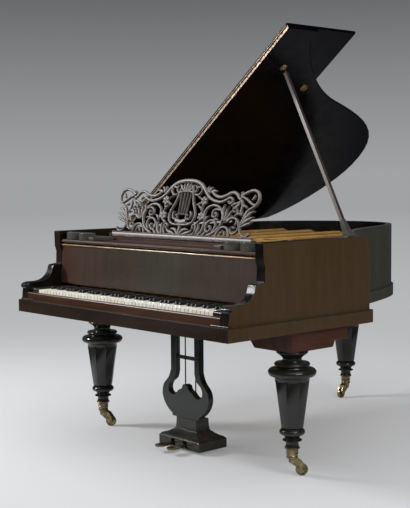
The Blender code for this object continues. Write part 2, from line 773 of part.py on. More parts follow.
def white_outline(first, last, rear):
    """The plan of neighbouring white keys, joined along their rear ends."""
    head_rear = KEY_FRONT + KEY_HEAD
    joined = KEY_REAR - KEY_BAR_DEPTH
    outline = []
    for k in range(first, last + 1):
        left = left_edge(k) + KEY_SLIT / 2
        right = left_edge(k + 1) - KEY_SLIT / 2
        if k == first and k > 0 and has_sharp_after(k - 1):
            inner = left_edge(k) + SHARP_ROOM / 2
            outline += [(inner, rear), (inner, head_rear), (left, head_rear)]
        elif k == first:
            outline.append((left, rear))
        outline += [(left, KEY_FRONT), (right, KEY_FRONT)]
        if has_sharp_after(k):
            inner = left_edge(k + 1) - SHARP_ROOM / 2
            outline += [(right, head_rear), (inner, head_rear)]
            if k < last:
                outer = left_edge(k + 1) + SHARP_ROOM / 2
                outline += [(inner, joined), (outer, joined), (outer, head_rear),
                            (left_edge(k + 1) + KEY_SLIT / 2, head_rear)]
            else:
                outline.append((inner, rear))
        elif k < last:
            outline += [(right, joined), (right + KEY_SLIT, joined)]
        else:
            outline.append((right, rear))
    return outline


def note_name(white):
    """The plain name of a white key's note."""
    return NOTE_NAMES[(white + FIRST_WHITE_NOTE) % 7]


def make_white_keys():
    """The white keys: the middle ones free, the rest joined behind them in one comb."""
    thickness = KEY_TOP - KEY_UNDERSIDE
    bar_front = FREE_KEY_REAR + 0.003
    bass = white_outline(0, FREE_WHITES[0] - 1, bar_front)
    treble = white_outline(FREE_WHITES[-1] + 1, WHITE_KEYS - 1, bar_front)
    outline = bass + treble
    outline[0] = (outline[0][0], KEY_REAR)
    outline[-1] = (outline[-1][0], KEY_REAR)
    comb = flat_shape("white_keys", outline, thickness, at=KEY_UNDERSIDE)
    finish_piece(comb, "white_keys", IVORY, PIANO, None)
    for white in FREE_WHITES:
        pivot = empty("key_pivot_" + note_name(white),
                      (0.0, KEY_PIVOT_DEPTH, KEY_UNDERSIDE), parent=PIANO)
        plan = white_outline(white, white, FREE_KEY_REAR)
        key = flat_shape("key", [(x, y - KEY_PIVOT_DEPTH) for x, y in plan], thickness)
        finish_piece(key, "white_key_" + note_name(white), IVORY, pivot, None)


def sharp_stick(name, centre, depth_shift=0.0, height_shift=0.0):
    """One black key: its ebony cap on its stick."""
    front = KEY_FRONT + KEY_HEAD + SHARP_FRONT_ROOM
    profile = [(front, KEY_UNDERSIDE), (front, KEY_TOP + 0.001), (front + 0.004, SHARP_TOP),
               (SHARP_CAP_REAR, SHARP_TOP), (SHARP_CAP_REAR, SHARP_STICK_TOP),
               (SHARP_REAR, SHARP_STICK_TOP), (SHARP_REAR, KEY_UNDERSIDE)]
    profile = [(y - depth_shift, z - height_shift) for y, z in profile]
    return flat_shape(name, profile, SHARP_WIDTH, plane="YZ", at=centre - SHARP_WIDTH / 2)


def make_black_keys():
    """The black keys: two of the middle ones free, the rest joined over their rear ends."""
    half = SHARP_WIDTH / 2
    bar_rear = SHARP_REAR - 0.002
    bar_front = bar_rear - SHARP_BAR_DEPTH
    places = [k for k in range(WHITE_KEYS - 1) if has_sharp_after(k)]
    fixed = [k for k in places if k not in FREE_SHARPS]
    comb = box("black_keys", (left_edge(fixed[0] + 1) - half, bar_front,
                              SHARP_TOP - SHARP_BAR_HEIGHT),
               (left_edge(fixed[-1] + 1) + half, bar_rear, SHARP_TOP))
    for k in fixed:
        centre = left_edge(k + 1)
        stem = box("stem", (centre - half + 0.001, bar_front + 0.004, SHARP_STICK_TOP - 0.004),
                   (centre + half - 0.001, bar_rear - 0.004, SHARP_TOP - 0.001))
        key = as_mesh(sharp_stick("sharp", centre))
        combine(key, stem)
        combine(comb, key)
    finish_piece(comb, "black_keys", EBONY, PIANO)
    for k in FREE_SHARPS:
        pivot = empty("key_pivot_" + note_name(k) + "_sharp",
                      (0.0, KEY_PIVOT_DEPTH, KEY_UNDERSIDE), parent=PIANO)
        key = sharp_stick("sharp", left_edge(k + 1), KEY_PIVOT_DEPTH, KEY_UNDERSIDE)
        finish_piece(key, "black_key_" + note_name(k) + "_sharp", EBONY, pivot, None)


def make_key_fittings():
    """The key frame with its balance rail, the key slip and the two key blocks."""
    base_top = KEY_BED_TOP + GAP + KEY_FRAME_THICKNESS
    rail = BALANCE_RAIL_WIDTH / 2
    back = KEY_UNDERSIDE - 0.001
    profile = [(KEY_FRAME_FRONT, KEY_BED_TOP + GAP), (KEY_FRAME_FRONT, base_top),
               (KEY_PIVOT_DEPTH - rail, base_top),
               (KEY_PIVOT_DEPTH - 0.004, KEY_UNDERSIDE - GAP),
               (KEY_PIVOT_DEPTH + 0.004, KEY_UNDERSIDE - GAP),
               (KEY_PIVOT_DEPTH + rail, base_top),
               (KEY_FRAME_REAR - 0.030, base_top), (KEY_FRAME_REAR - 0.030, back),
               (KEY_FRAME_REAR, back), (KEY_FRAME_REAR, KEY_BED_TOP + GAP)]
    frame = flat_shape("key_frame", profile, 2 * KEYBOARD_HALF, plane="YZ", at=-KEYBOARD_HALF)
    finish_piece(frame, "key_frame", BEECH, PIANO, None)
    round_top = arc((SLIP_FRONT + 0.006, SLIP_TOP - 0.006), 0.006, math.pi, math.pi / 2, 3)
    profile = ([(SLIP_FRONT, KEY_BED_TOP + GAP)] + round_top
               + [(SLIP_REAR, SLIP_TOP), (SLIP_REAR, KEY_BED_TOP + GAP)])
    edge = INNER_X - WIDE_GAP
    slip = flat_shape("key_slip", profile, 2 * edge, plane="YZ", at=-edge)
    finish_piece(slip, "key_slip", ROSEWOOD, PIANO, None)
    front = SLIP_REAR + GAP
    for name, side in (("key_block_bass", -1), ("key_block_treble", 1)):
        top = KEY_BLOCK_TOP
        profile = [(front, KEY_BED_TOP + GAP), (front, top - 0.006), (front + 0.006, top),
                   (KEY_BLOCK_REAR, top), (KEY_BLOCK_REAR, KEY_BED_TOP + GAP)]
        inner = KEYBOARD_HALF + 0.0012
        width = edge - inner
        at = inner if side > 0 else -edge
        block = flat_shape(name, profile, width, plane="YZ", at=at)
        finish_piece(block, name, EBONISED, PIANO, None)


def make_fallboard():
    """The fallboard, which swings forward over the keys about its rounded lower edge."""
    axis = empty("fallboard_axis", (0.0, FALL_AXIS_DEPTH, FALL_AXIS_HEIGHT),
                 (-FALL_LEAN, 0.0, 0.0), PIANO)
    half = FALL_THICKNESS / 2
    profile = arc((0.0, 0.0), half, math.pi, 2 * math.pi, 8)
    profile += [(half, FALL_LENGTH - 0.003), (half - 0.003, FALL_LENGTH),
                (-half - FALL_LIP + 0.002, FALL_LENGTH),
                (-half - FALL_LIP, FALL_LENGTH - 0.003),
                (-half - FALL_LIP, FALL_LENGTH - 0.008), (-half, FALL_LENGTH - 0.012)]
    board = flat_shape("fallboard", profile, 2 * FALL_HALF_WIDTH, plane="YZ",
                       at=-FALL_HALF_WIDTH)
    finish_piece(board, "fallboard", ROSEWOOD, axis, None)


# music tray and desk

def make_tray():
    """The sliding music tray with its ledge, and the two round-nosed candle boards."""
    edge = INNER_X - WIDE_GAP
    front = TRAY_FRONT
    ledge_rear = TRAY_LEDGE_FRONT + TRAY_LEDGE_DEPTH
    ledge_top = TRAY_TOP + TRAY_LEDGE_HEIGHT
    profile = [(front + 0.004, TRAY_UNDERSIDE), (front, TRAY_UNDERSIDE + 0.004),
               (front, TRAY_UNDERSIDE + 0.009), (front + 0.003, TRAY_TOP - 0.003),
               (front + 0.003, TRAY_TOP), (TRAY_REAR, TRAY_TOP),
               (TRAY_REAR, TRAY_UNDERSIDE)]
    tray = as_mesh(flat_shape("music_tray", profile, 2 * edge, plane="YZ", at=-edge))
    reach = CANDLE_INNER_X + 0.08
    ledge = box("ledge", (-reach, TRAY_LEDGE_FRONT, TRAY_TOP - 0.002),
                (reach, ledge_rear, ledge_top))
    combine(tray, ledge)
    for side in (-1, 1):
        across = sorted((side * (DESK_HALF_WIDTH + GAP), side * (DESK_HALF_WIDTH + DESK_LUG_WIDTH)))
        lug = box("lug", (across[0], DESK_DEPTH - DESK_LUG_HALF, ledge_top - 0.002),
                  (across[1], DESK_DEPTH + DESK_LUG_HALF, ledge_top + DESK_LIFT + DESK_LUG_HALF))
        combine(tray, lug)
    slide = empty("tray_slide", (0.0, 0.0, 0.0), parent=PIANO)
    finish_piece(tray, "music_tray", ROSEWOOD, slide)
    for name, side in (("candle_board_bass", -1), ("candle_board_treble", 1)):
        nose = arc((0.0, 0.0), 1.0, math.pi, 1.5 * math.pi, 5)
        inner = CANDLE_INNER_X
        outer = edge
        width = outer - inner
        front_edge = [(inner + 0.35 * width * (1 + x), TRAY_FRONT + CANDLE_NOSE * (1 + y))
                      for x, y in nose]
        outline = front_edge + [(outer, TRAY_FRONT), (outer, CANDLE_REAR), (inner, CANDLE_REAR)]
        outline = [(side * x, y) for x, y in outline]
        board = flat_shape(name, outline, CANDLE_HEIGHT, at=TRAY_TOP + GAP)
        finish_piece(board, name, ROSEWOOD, slide, None)
    return slide


def desk_outline():
    """The scrolled outline of the desk, by its right half, from the hinge line up."""
    half = [(0.430, 0.040), (0.400, 0.045), (0.396, 0.072), (0.422, 0.100), (0.430, 0.125),
            (0.420, 0.152), (0.446, 0.180), (0.452, 0.208), (0.425, 0.229), (0.390, 0.227),
            (0.355, 0.213), (0.322, 0.203), (0.286, 0.219), (0.252, 0.225), (0.219, 0.210),
            (0.188, 0.209), (0.160, 0.231), (0.120, 0.242), (0.090, 0.258), (0.062, 0.272),
            (0.022, 0.280)]
    low = -DESK_THICKNESS / 2
    edge = ([(DESK_HALF_WIDTH, low), (DESK_HALF_WIDTH, DESK_STRIP_TOP)] + smooth(half, 2)
            + [(0.0, 0.281)])
    return mirrored(edge)


def ellipse(x, y, across, up, tilt=0.0, steps=10):
    """A pierced opening of the fretwork."""
    points = []
    for k in range(steps):
        a = 2 * math.pi * k / steps
        u = across * math.cos(a)
        v = up * math.sin(a)
        points.append((x + u * math.cos(tilt) - v * math.sin(tilt),
                       y + u * math.sin(tilt) + v * math.cos(tilt)))
    return points


def fret_holes():
    """The openings between the scrolls, beside the lyre and in the two wings."""
    right = [(0.040, 0.150, 0.014, 0.055, 0.0), (0.085, 0.095, 0.024, 0.034, 0.4),
             (0.090, 0.180, 0.020, 0.034, -0.3), (0.138, 0.140, 0.022, 0.034, 0.5),
             (0.140, 0.200, 0.016, 0.018, 0.0), (0.150, 0.074, 0.030, 0.020, 0.2),
             (0.195, 0.115, 0.022, 0.030, -0.5), (0.200, 0.172, 0.022, 0.022, 0.3),
             (0.218, 0.064, 0.028, 0.016, 0.0), (0.250, 0.140, 0.020, 0.032, 0.4),
             (0.255, 0.196, 0.020, 0.014, 0.0), (0.285, 0.082, 0.026, 0.022, 0.6),
             (0.306, 0.140, 0.022, 0.022, -0.4), (0.312, 0.182, 0.022, 0.009, -0.2),
             (0.345, 0.090, 0.018, 0.034, 0.3), (0.360, 0.160, 0.020, 0.028, 0.7),
             (0.388, 0.122, 0.014, 0.024, -0.2), (0.405, 0.195, 0.024, 0.018, 0.2)]
    holes = []
    for x, y, across, up, tilt in right:
        holes.append(ellipse(x, y, across, up, tilt))
        holes.append(ellipse(-x, y, across, up, -tilt))
    return holes


def make_desk(slide):
    """The fretwork desk, hinged on the tray's ledge, and the strut behind it."""
    height = TRAY_TOP + TRAY_LEDGE_HEIGHT + DESK_LIFT
    axis = empty("desk_axis", (0.0, DESK_DEPTH, height), (-DESK_LEAN, 0.0, 0.0), slide)
    desk = flat_shape("music_desk", desk_outline(), DESK_THICKNESS, fret_holes(),
                      plane="XZ", at=-DESK_THICKNESS / 2)
    finish_piece(desk, "music_desk", FRETWOOD, axis, None)
    rear = DESK_THICKNESS / 2 + STRUT_THICKNESS / 2 + GAP
    pivot = empty("strut_axis", (0.0, rear, STRUT_ON_DESK), (STRUT_ANGLE, 0.0, 0.0), axis)
    drop = Vector((0.0, rear, STRUT_ON_DESK))
    drop.rotate(Matrix.Rotation(-DESK_LEAN, 3, "X"))
    length = (height + drop.z - TRAY_TOP) / math.cos(STRUT_ANGLE - DESK_LEAN) - 0.004
    strut = box("desk_strut", (-STRUT_WIDTH / 2, -STRUT_THICKNESS / 2, -length),
                (STRUT_WIDTH / 2, STRUT_THICKNESS / 2, 0.0))
    knuckle = cylinder("knuckle", (-STRUT_WIDTH / 2, 0, 0), (STRUT_WIDTH / 2, 0, 0),
                       STRUT_THICKNESS / 2, 12)
    combine(strut, knuckle)
    finish_piece(strut, "desk_strut", FRETWOOD, pivot)


# lid

def make_lid():
    """The lid on its spine hinges, the flap folded back on it, and their hinges."""
    axis = empty("lid_axis", (LID_AXIS_X, 0.0, LID_AXIS_HEIGHT), (0.0, -LID_ANGLE, 0.0), PIANO)
    edge = HALF_WIDTH + LID_OVERHANG
    front = FLAP_AXIS_DEPTH + FLAP_EDGE_ROOM
    spine = LID_AXIS_X + LID_SPINE_EDGE
    plan = [(x - LID_AXIS_X, y) for x, y in outer_plan(front, LID_OVERHANG, spine) if x >= spine]
    plan.append((LID_SPINE_EDGE, SPINE_END))
    lid = flat_shape("lid", plan, LID_THICKNESS, at=LID_LIFT)
    finish_piece(lid, "lid", EBONISED, axis, None)
    top = LID_LIFT + LID_THICKNESS
    hinge_height = top + GAP
    flap_axis = empty("flap_axis", (0.0, FLAP_AXIS_DEPTH, hinge_height),
                      (math.pi, 0.0, 0.0), axis)
    flap = box("lid_flap", (FLAP_SPINE_EDGE, FLAP_FRONT - FLAP_AXIS_DEPTH,
                            -GAP - FLAP_THICKNESS),
               (edge - LID_AXIS_X, -FLAP_EDGE_ROOM, -GAP))
    finish_piece(flap, "lid_flap", EBONISED, flap_axis)
    hinge = cylinder("flap_hinge", (FLAP_SPINE_EDGE, FLAP_AXIS_DEPTH, hinge_height),
                     (edge - LID_AXIS_X - 0.004, FLAP_AXIS_DEPTH, hinge_height),
                     FLAP_HINGE_RADIUS, 10)
    leaf = box("leaf", (FLAP_SPINE_EDGE + 0.001, FLAP_AXIS_DEPTH + 0.001, LID_LIFT + 0.001),
               (edge - LID_AXIS_X - 0.005, FLAP_AXIS_DEPTH + FLAP_EDGE_ROOM - GAP,
                hinge_height))
    combine(hinge, leaf)
    finish_piece(hinge, "flap_hinge", BRASS, axis)
    for name, depth in LID_HINGE_DEPTHS.items():
        knuckle = cylinder(name, (0.0, depth, 0.0), (0.0, depth + LID_HINGE_LENGTH, 0.0),
                           LID_KNUCKLE_RADIUS, 10)
        leaf = box("leaf", (0.0, depth + 0.001, 0.0002),
                   (LID_HINGE_LEAF, depth + LID_HINGE_LENGTH - 0.001, LID_LIFT - GAP))
        combine(knuckle, leaf)
        finish_piece(knuckle, name, BRASS, axis)


def lid_point(along, depth, below):
    """A point under the open lid, a way along it from its hinge."""
    x = LID_AXIS_X + along * math.cos(LID_ANGLE) - (LID_LIFT - below) * math.sin(LID_ANGLE)
    z = LID_AXIS_HEIGHT + along * math.sin(LID_ANGLE) + (LID_LIFT - below) * math.cos(LID_ANGLE)
    return Vector((x, depth, z))


def make_props():
    """The long prop with its brass tip, the short prop folded down, and their bracket."""
    foot = Vector(PROP_FOOT)
    tip = lid_point(PROP_TIP_ALONG_LID, PROP_TIP_DEPTH, PROP_TIP_CLEARANCE)
    along = tip - foot
    turn = Vector((0, 0, 1)).rotation_difference(along)
    pivot = empty("prop_pivot", foot, turn.to_euler(), PIANO)
    half = PROP_WIDTH / 2
    reach = along.length
    cap_bottom = reach - PROP_CAP_LENGTH
    cap_top = reach - PROP_PIN_LENGTH
    stick = box("prop", (-half, -half, PROP_STICK_START), (half, half, cap_bottom + 0.004))
    combine(stick, ball("foot", (0, 0, 0), PROP_BALL_RADIUS, 12))
    combine(stick, cylinder("cap", (0, 0, cap_bottom), (0, 0, cap_top),
                            PROP_CAP_RADIUS * 1.15, 12, PROP_CAP_RADIUS * 0.7))
    combine(stick, cylinder("tip", (0, 0, cap_top - 0.004), (0, 0, reach - 0.001),
                            PROP_CAP_RADIUS * 0.5, 8, PROP_CAP_RADIUS * 0.3))
    finish_piece(stick, "prop", ROSEWOOD, pivot)
    short = empty("half_prop_pivot", HALF_PROP_FOOT, (math.pi / 2, 0.0, 0.0), PIANO)
    half = HALF_PROP_WIDTH / 2
    stick = box("half_prop", (-half, -half, PROP_STICK_START), (half, half, HALF_PROP_LENGTH))
    combine(stick, ball("foot", (0, 0, 0), PROP_BALL_RADIUS, 12))
    finish_piece(stick, "half_prop", ROSEWOOD, short)
    inner = PROP_FOOT[0] + PROP_BALL_RADIUS + GAP
    outer = INNER_X - GAP
    face = bend_inside(0.0)
    plan = [(inner, BRACKET_FRONT), (outer, BRACKET_FRONT),
            (outer, face[0][1] - BRACKET_CLEARANCE),
            (inner, border_depth(face, inner) - BRACKET_CLEARANCE)]
    bottom = PLATE_TOP + GAP
    bracket = flat_shape("prop_bracket", plan, RIM_TOP - BRACKET_BELOW_RIM - bottom, at=bottom)
    finish_piece(bracket, "prop_bracket", EBONISED, PIANO, None)


# legs and casters

def leg_profile():
    """The turned cap of a leg, from the block down into the shaft."""
    top = BLOCK_BOTTOM - GAP
    bead = [(TORUS_RADIUS - TORUS_HALF + TORUS_HALF * math.cos(a),
             TORUS_HEIGHT + TORUS_HALF * math.sin(a))
            for a in (math.radians(d) for d in (80, 45, 15, -15, -45, -80))]
    return [(0.0, top), (0.0645, top), (0.0645, 0.503), (0.056, 0.496), (0.045, 0.490),
            (0.039, 0.484), (0.039, 0.469), (0.0725, 0.466), (0.0725, 0.452), (0.068, 0.448),
            *bead, (0.0755, 0.408), (0.0705, 0.402), (0.0705, SHAFT_TOP - 0.0008),
            (0.055, SHAFT_TOP - 0.0008), (0.055, SHAFT_TOP - 0.012), (0.0, SHAFT_TOP - 0.012)]


def foot_profile():
    """The turned foot of a leg, from inside the shaft down to the caster."""
    low = SHAFT_BOTTOM
    return [(0.0, low + 0.008), (0.034, low + 0.008), (0.034, low - 0.001),
            (0.043, low - 0.004), (0.0505, low - 0.010), (0.0525, low - 0.018),
            (0.0485, low - 0.026), (0.037, low - 0.034), (0.030, 0.160), (0.029, 0.154),
            (0.040, 0.1525), (0.040, 0.1465), (0.028, 0.144), (0.026, 0.134),
            (0.029, LEG_FOOT), (0.0, LEG_FOOT)]


def make_leg(name):
    """One leg: a turned cap, an eight-sided tapering shaft and a turned foot."""
    corner = 1 / math.cos(math.pi / 8) / 2
    shaft = cylinder(name, (0, 0, SHAFT_BOTTOM), (0, 0, SHAFT_TOP),
                     SHAFT_BOTTOM_FLATS * corner, 8, SHAFT_TOP_FLATS * corner)
    shaft.data.transform(Matrix.Rotation(math.pi / 8, 4, "Z"))
    combine(shaft, as_mesh(turned("cap", leg_profile())))
    combine(shaft, as_mesh(turned("foot", foot_profile())))
    return shaft


def make_fork(name):
    """A caster's brass fork: a round crown, two cheeks swept back, and the axle."""
    width = WHEEL_WIDTH + 2 * WHEEL_SIDE_GAP + 2 * FORK_CHEEK
    trail = WHEEL_TRAIL
    side = [(-0.013, SOCKET_BOTTOM - GAP), (0.016, SOCKET_BOTTOM - GAP), (0.034, 0.067),
            (0.049, 0.048), (0.054, 0.028), (trail + 0.008, 0.0165), (trail, 0.0135),
            (trail - 0.008, 0.0165), (0.020, 0.034), (0.002, 0.048), (-0.010, 0.055)]
    fork = as_mesh(flat_shape(name, side, width, plane="XZ", at=-width / 2))
    room = WHEEL_WIDTH / 2 + WHEEL_SIDE_GAP
    slot = box("slot", (trail - WHEEL_RADIUS - 0.003, -room, -0.01),
               (trail + WHEEL_RADIUS + 0.02, room, 2 * WHEEL_RADIUS + 0.002))
    combine(fork, slot, "DIFFERENCE")
    axle = cylinder("axle", (trail, -width / 2 - 0.002, WHEEL_RADIUS),
                    (trail, width / 2 + 0.002, WHEEL_RADIUS), AXLE_RADIUS, 12)
    combine(fork, axle)
    return fork


def make_wheel(name):
    """A caster's brass wheel, bored for its axle."""
    half = WHEEL_WIDTH / 2
    to_corner = 1 / math.cos(math.pi / TURNING_SIDES)
    bore = AXLE_RADIUS * to_corner + GAP
    rim = WHEEL_RADIUS * to_corner
    profile = [(bore, half), (rim - 0.003, half), (rim, half - 0.003), (rim, -half + 0.003),
               (rim - 0.003, -half), (bore, -half)]
    wheel = as_mesh(turned(name, profile, ring=True))
    flat_down = Matrix.Rotation(math.pi / TURNING_SIDES, 4, "Y")
    wheel.data.transform(flat_down @ Matrix.Rotation(math.pi / 2, 4, "X"))
    return wheel


def make_leg_block(name, side):
    """The wooden block between a front leg and the key bed, stepped behind and slanted."""
    top = CASE_BOTTOM
    side_view = [(BLOCK_FRONT, BLOCK_BOTTOM), (BLOCK_FRONT, top - GAP), (BLOCK_TAIL, top - GAP),
                 (BLOCK_TAIL, BLOCK_SHELF), (BLOCK_REAR + 0.012, BLOCK_SHELF),
                 (BLOCK_REAR, BLOCK_BOTTOM)]
    block = as_mesh(flat_shape(name, side_view, BLOCK_OUTER_X - BLOCK_INNER_X + BLOCK_SLANT,
                               plane="YZ", at=BLOCK_INNER_X - BLOCK_SLANT))
    low = BLOCK_BOTTOM - 0.01
    slant = flat_shape("slant", [(BLOCK_INNER_X - BLOCK_SLANT - 0.05, low),
                                 (BLOCK_INNER_X + 0.003, low),
                                 (BLOCK_INNER_X - BLOCK_SLANT, top + 0.004),
                                 (BLOCK_INNER_X - BLOCK_SLANT - 0.05, top + 0.004)],
                       1.0, plane="XZ", at=0.0)
    combine(block, as_mesh(slant), "DIFFERENCE")
    if side < 0:
        block.data.transform(Matrix.Scale(-1, 4, (1, 0, 0)))
        block.data.flip_normals()
    return block


def make_legs():
    """Three legs, their blocks, and a caster under each."""
    for name, side in (("leg_block_bass", -1), ("leg_block_treble", 1)):
        finish_piece(make_leg_block(name, side), name, ROSEWOOD, PIANO)
    half = REAR_BLOCK_HALF
    rear = border_depth(bend_path(0.0), REAR_LEG_X - half) - REAR_BLOCK_SETBACK
    block = stack("leg_block_rear", [(BLOCK_BOTTOM, half - 0.006, REAR_LEG_DEPTH - half, rear),
                                     (CASE_BOTTOM - GAP, half, REAR_LEG_DEPTH - half - 0.02,
                                      rear)])
    finish_piece(block, "leg_block_rear", ROSEWOOD, PIANO, (REAR_LEG_X, 0.0, 0.0))
    places = {"bass": (-LEG_X, LEG_DEPTH), "treble": (LEG_X, LEG_DEPTH),
              "rear": (REAR_LEG_X, REAR_LEG_DEPTH)}
    for where, (x, y) in places.items():
        spot = (x, y, 0.0)
        finish_piece(make_leg("leg_" + where), "leg_" + where, EBONISED, PIANO, spot)
        profile = [(0.0, LEG_FOOT - GAP), (SOCKET_RING_RADIUS, LEG_FOOT - GAP),
                   (SOCKET_RING_RADIUS, LEG_FOOT - 0.008), (SOCKET_RADIUS + 0.003, 0.110),
                   (SOCKET_RADIUS, SOCKET_BOTTOM + 0.008), (SOCKET_RADIUS + 0.002, SOCKET_BOTTOM),
                   (0.0, SOCKET_BOTTOM)]
        socket = turned("caster_socket_" + where, profile)
        finish_piece(socket, "caster_socket_" + where, BRASS, PIANO, spot)
        swivel = empty("caster_swivel_" + where, spot, (0.0, 0.0, CASTERS[where]), PIANO)
        finish_piece(make_fork("fork"), "caster_fork_" + where, BRASS, swivel)
        hub = empty("caster_axle_" + where, (WHEEL_TRAIL, 0.0, WHEEL_RADIUS), parent=swivel)
        finish_piece(make_wheel("wheel"), "caster_wheel_" + where, BRASS, hub)


# lyre and pedals

def lyre_outline():
    """The lyre's outer edge, by its right half from the bottom up."""
    belly = smooth([(LYRE_NECK_HALF, 0.150), (0.104, 0.162), (0.132, 0.192),
                    (LYRE_BELLY_HALF, 0.234), (0.138, 0.276), (0.106, 0.312),
                    (LYRE_PILLAR_OUTER, 0.350)], 3)
    half = ([(LYRE_NECK_HALF, LYRE_BOTTOM)] + belly
            + [(LYRE_PILLAR_OUTER, LYRE_CAP_BOTTOM), (LYRE_CAP_HALF, LYRE_CAP_BOTTOM + 0.006),
               (LYRE_CAP_HALF, CASE_BOTTOM - GAP)])
    return mirrored(half)


def lyre_opening():
    """The space between the pillars, with a lobe each side of the knob."""
    inner = LYRE_PILLAR_OUTER - LYRE_PILLAR_WIDTH
    knob = [(0.0, 0.292), (0.018, 0.288), (0.024, 0.272), (0.034, 0.264), (0.046, 0.262)]
    lobe = smooth([(0.060, 0.248), (0.078, 0.238), (0.098, 0.246), (0.104, 0.268),
                   (0.092, 0.292), (0.070, 0.312), (inner, 0.345)], 2)
    half = knob + lobe + [(inner, LYRE_CAP_BOTTOM)]
    left = [(-x, y) for x, y in reversed(half) if x > 0.0001]
    return half + left


def make_lyre():
    """The lyre board, its iron crossbar and its moulded base."""
    lyre = flat_shape("lyre", lyre_outline(), LYRE_THICKNESS, [lyre_opening()],
                      plane="XZ", at=LYRE_FRONT)
    finish_piece(lyre, "lyre", EBONISED, PIANO, None)
    inner = LYRE_PILLAR_OUTER - LYRE_PILLAR_WIDTH - GAP
    bar = box("lyre_crossbar", (-inner, LYRE_FRONT + 0.004, CROSSBAR_HEIGHT - 0.008),
              (inner, LYRE_FRONT + 0.014, CROSSBAR_HEIGHT + 0.008))
    finish_piece(bar, "lyre_crossbar", BRASS, PIANO)
    middle = (BASE_FRONT + BASE_REAR) / 2
    deep = (BASE_REAR - BASE_FRONT) / 2

    def level(height, half, depth_half):
        return (height, half, middle - depth_half, middle + depth_half)

    levels = [level(BASE_BOTTOM, BASE_HALF, deep), level(BASE_BLOCK_TOP - 0.006, BASE_HALF, deep),
              level(BASE_BLOCK_TOP, BASE_HALF - 0.006, deep - 0.006),
              level(BASE_BLOCK_TOP + 0.004, BASE_HALF - 0.010, deep - 0.010)]
    rise = BASE_COVE_TOP - BASE_BLOCK_TOP - 0.004
    for k in range(1, 6):
        a = k / 5 * math.pi / 2
        inset = (BASE_HALF - 0.010 - BASE_TOP_HALF) * math.sin(a)
        levels.append(level(BASE_COVE_TOP - rise * math.cos(a), BASE_HALF - 0.010 - inset,
                            deep - 0.010 - inset * 0.62))
    top = levels[-1]
    levels.append((LYRE_BOTTOM - GAP, top[1], top[2], top[3]))
    base = stack("lyre_base", levels)
    room = PEDAL_BAR_HALF + PEDAL_SLOT_ROOM
    for side in (-1, 1):
        x = side * PEDAL_X
        slot = box("slot", (x - room, BASE_FRONT - 0.02, BASE_BOTTOM + 0.005),
                   (x + room, PEDAL_REAR + 0.008, PEDAL_HEIGHT + 0.017))
        combine(base, slot, "DIFFERENCE")
        hole = cylinder("hole", (side * ROD_X, ROD_DEPTH, PEDAL_HEIGHT),
                        (side * ROD_X, ROD_DEPTH, LYRE_BOTTOM + 0.01), ROD_HOLE_RADIUS, 10)
        combine(base, hole, "DIFFERENCE")
    finish_piece(base, "lyre_base", EBONISED, PIANO)


def make_pedals():
    """Two brass pedals on pivots in the base, each pushing a rod up to the key bed."""
    for where, side in (("soft", -1), ("damper", 1)):
        pivot = empty("pedal_pivot_" + where, (side * PEDAL_X, PEDAL_PIVOT_DEPTH, PEDAL_HEIGHT),
                      parent=PIANO)
        tip = PEDAL_TIP - PEDAL_PIVOT_DEPTH
        rear = PEDAL_REAR - PEDAL_PIVOT_DEPTH
        pad = arc((0.0, tip + PEDAL_PAD_HALF), PEDAL_PAD_HALF, -0.2, -math.pi + 0.2, 8)
        outline = ([(PEDAL_BAR_HALF, rear), (PEDAL_BAR_HALF, tip + 0.075),
                    (PEDAL_PAD_HALF * 0.9, tip + 0.045)] + pad
                   + [(-PEDAL_PAD_HALF * 0.9, tip + 0.045), (-PEDAL_BAR_HALF, tip + 0.075),
                      (-PEDAL_BAR_HALF, rear)])
        pedal = as_mesh(flat_shape("pedal", outline, PEDAL_THICKNESS, at=-PEDAL_THICKNESS / 2))
        pin_end = PEDAL_BAR_HALF + PEDAL_SLOT_ROOM - GAP
        pin = cylinder("pin", (-pin_end, 0, 0), (pin_end, 0, 0), PEDAL_PIN_RADIUS, 8)
        combine(pedal, pin)
        finish_piece(pedal, "pedal_" + where, BRASS, pivot)
        bottom = PEDAL_HEIGHT + PEDAL_THICKNESS / 2 + GAP
        slide = empty("rod_slide_" + where, (side * ROD_X, ROD_DEPTH, 0.0), parent=PIANO)
        rod = cylinder("rod", (0, 0, bottom), (0, 0, ROD_TOP), ROD_RADIUS, 8)
        finish_piece(rod, "pedal_rod_" + where, BRASS, slide)


make_sides()
make_plinth()
make_bottom()
make_inside()
make_key_fittings()
make_white_keys()
make_black_keys()
make_fallboard()
tray_slide = make_tray()
make_desk(tray_slide)
make_lid()
make_props()
make_legs()
make_lyre()
make_pedals()
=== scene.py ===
# %% [markdown]
# # Dressing a baby grand piano
# The piano arrives as plain jointed solids. This lesson gives each of them the surface that the
# real instrument has: shellac over veneer, ivory and ebony, cast brass, carved fretwork, bronzed
# iron and drawn wire. Everything is in metres, +Z is up and the keyboard faces -Y.

# %% Load the frame
import json
import math
import random

import bmesh
import bpy
from mathutils import Matrix, Vector


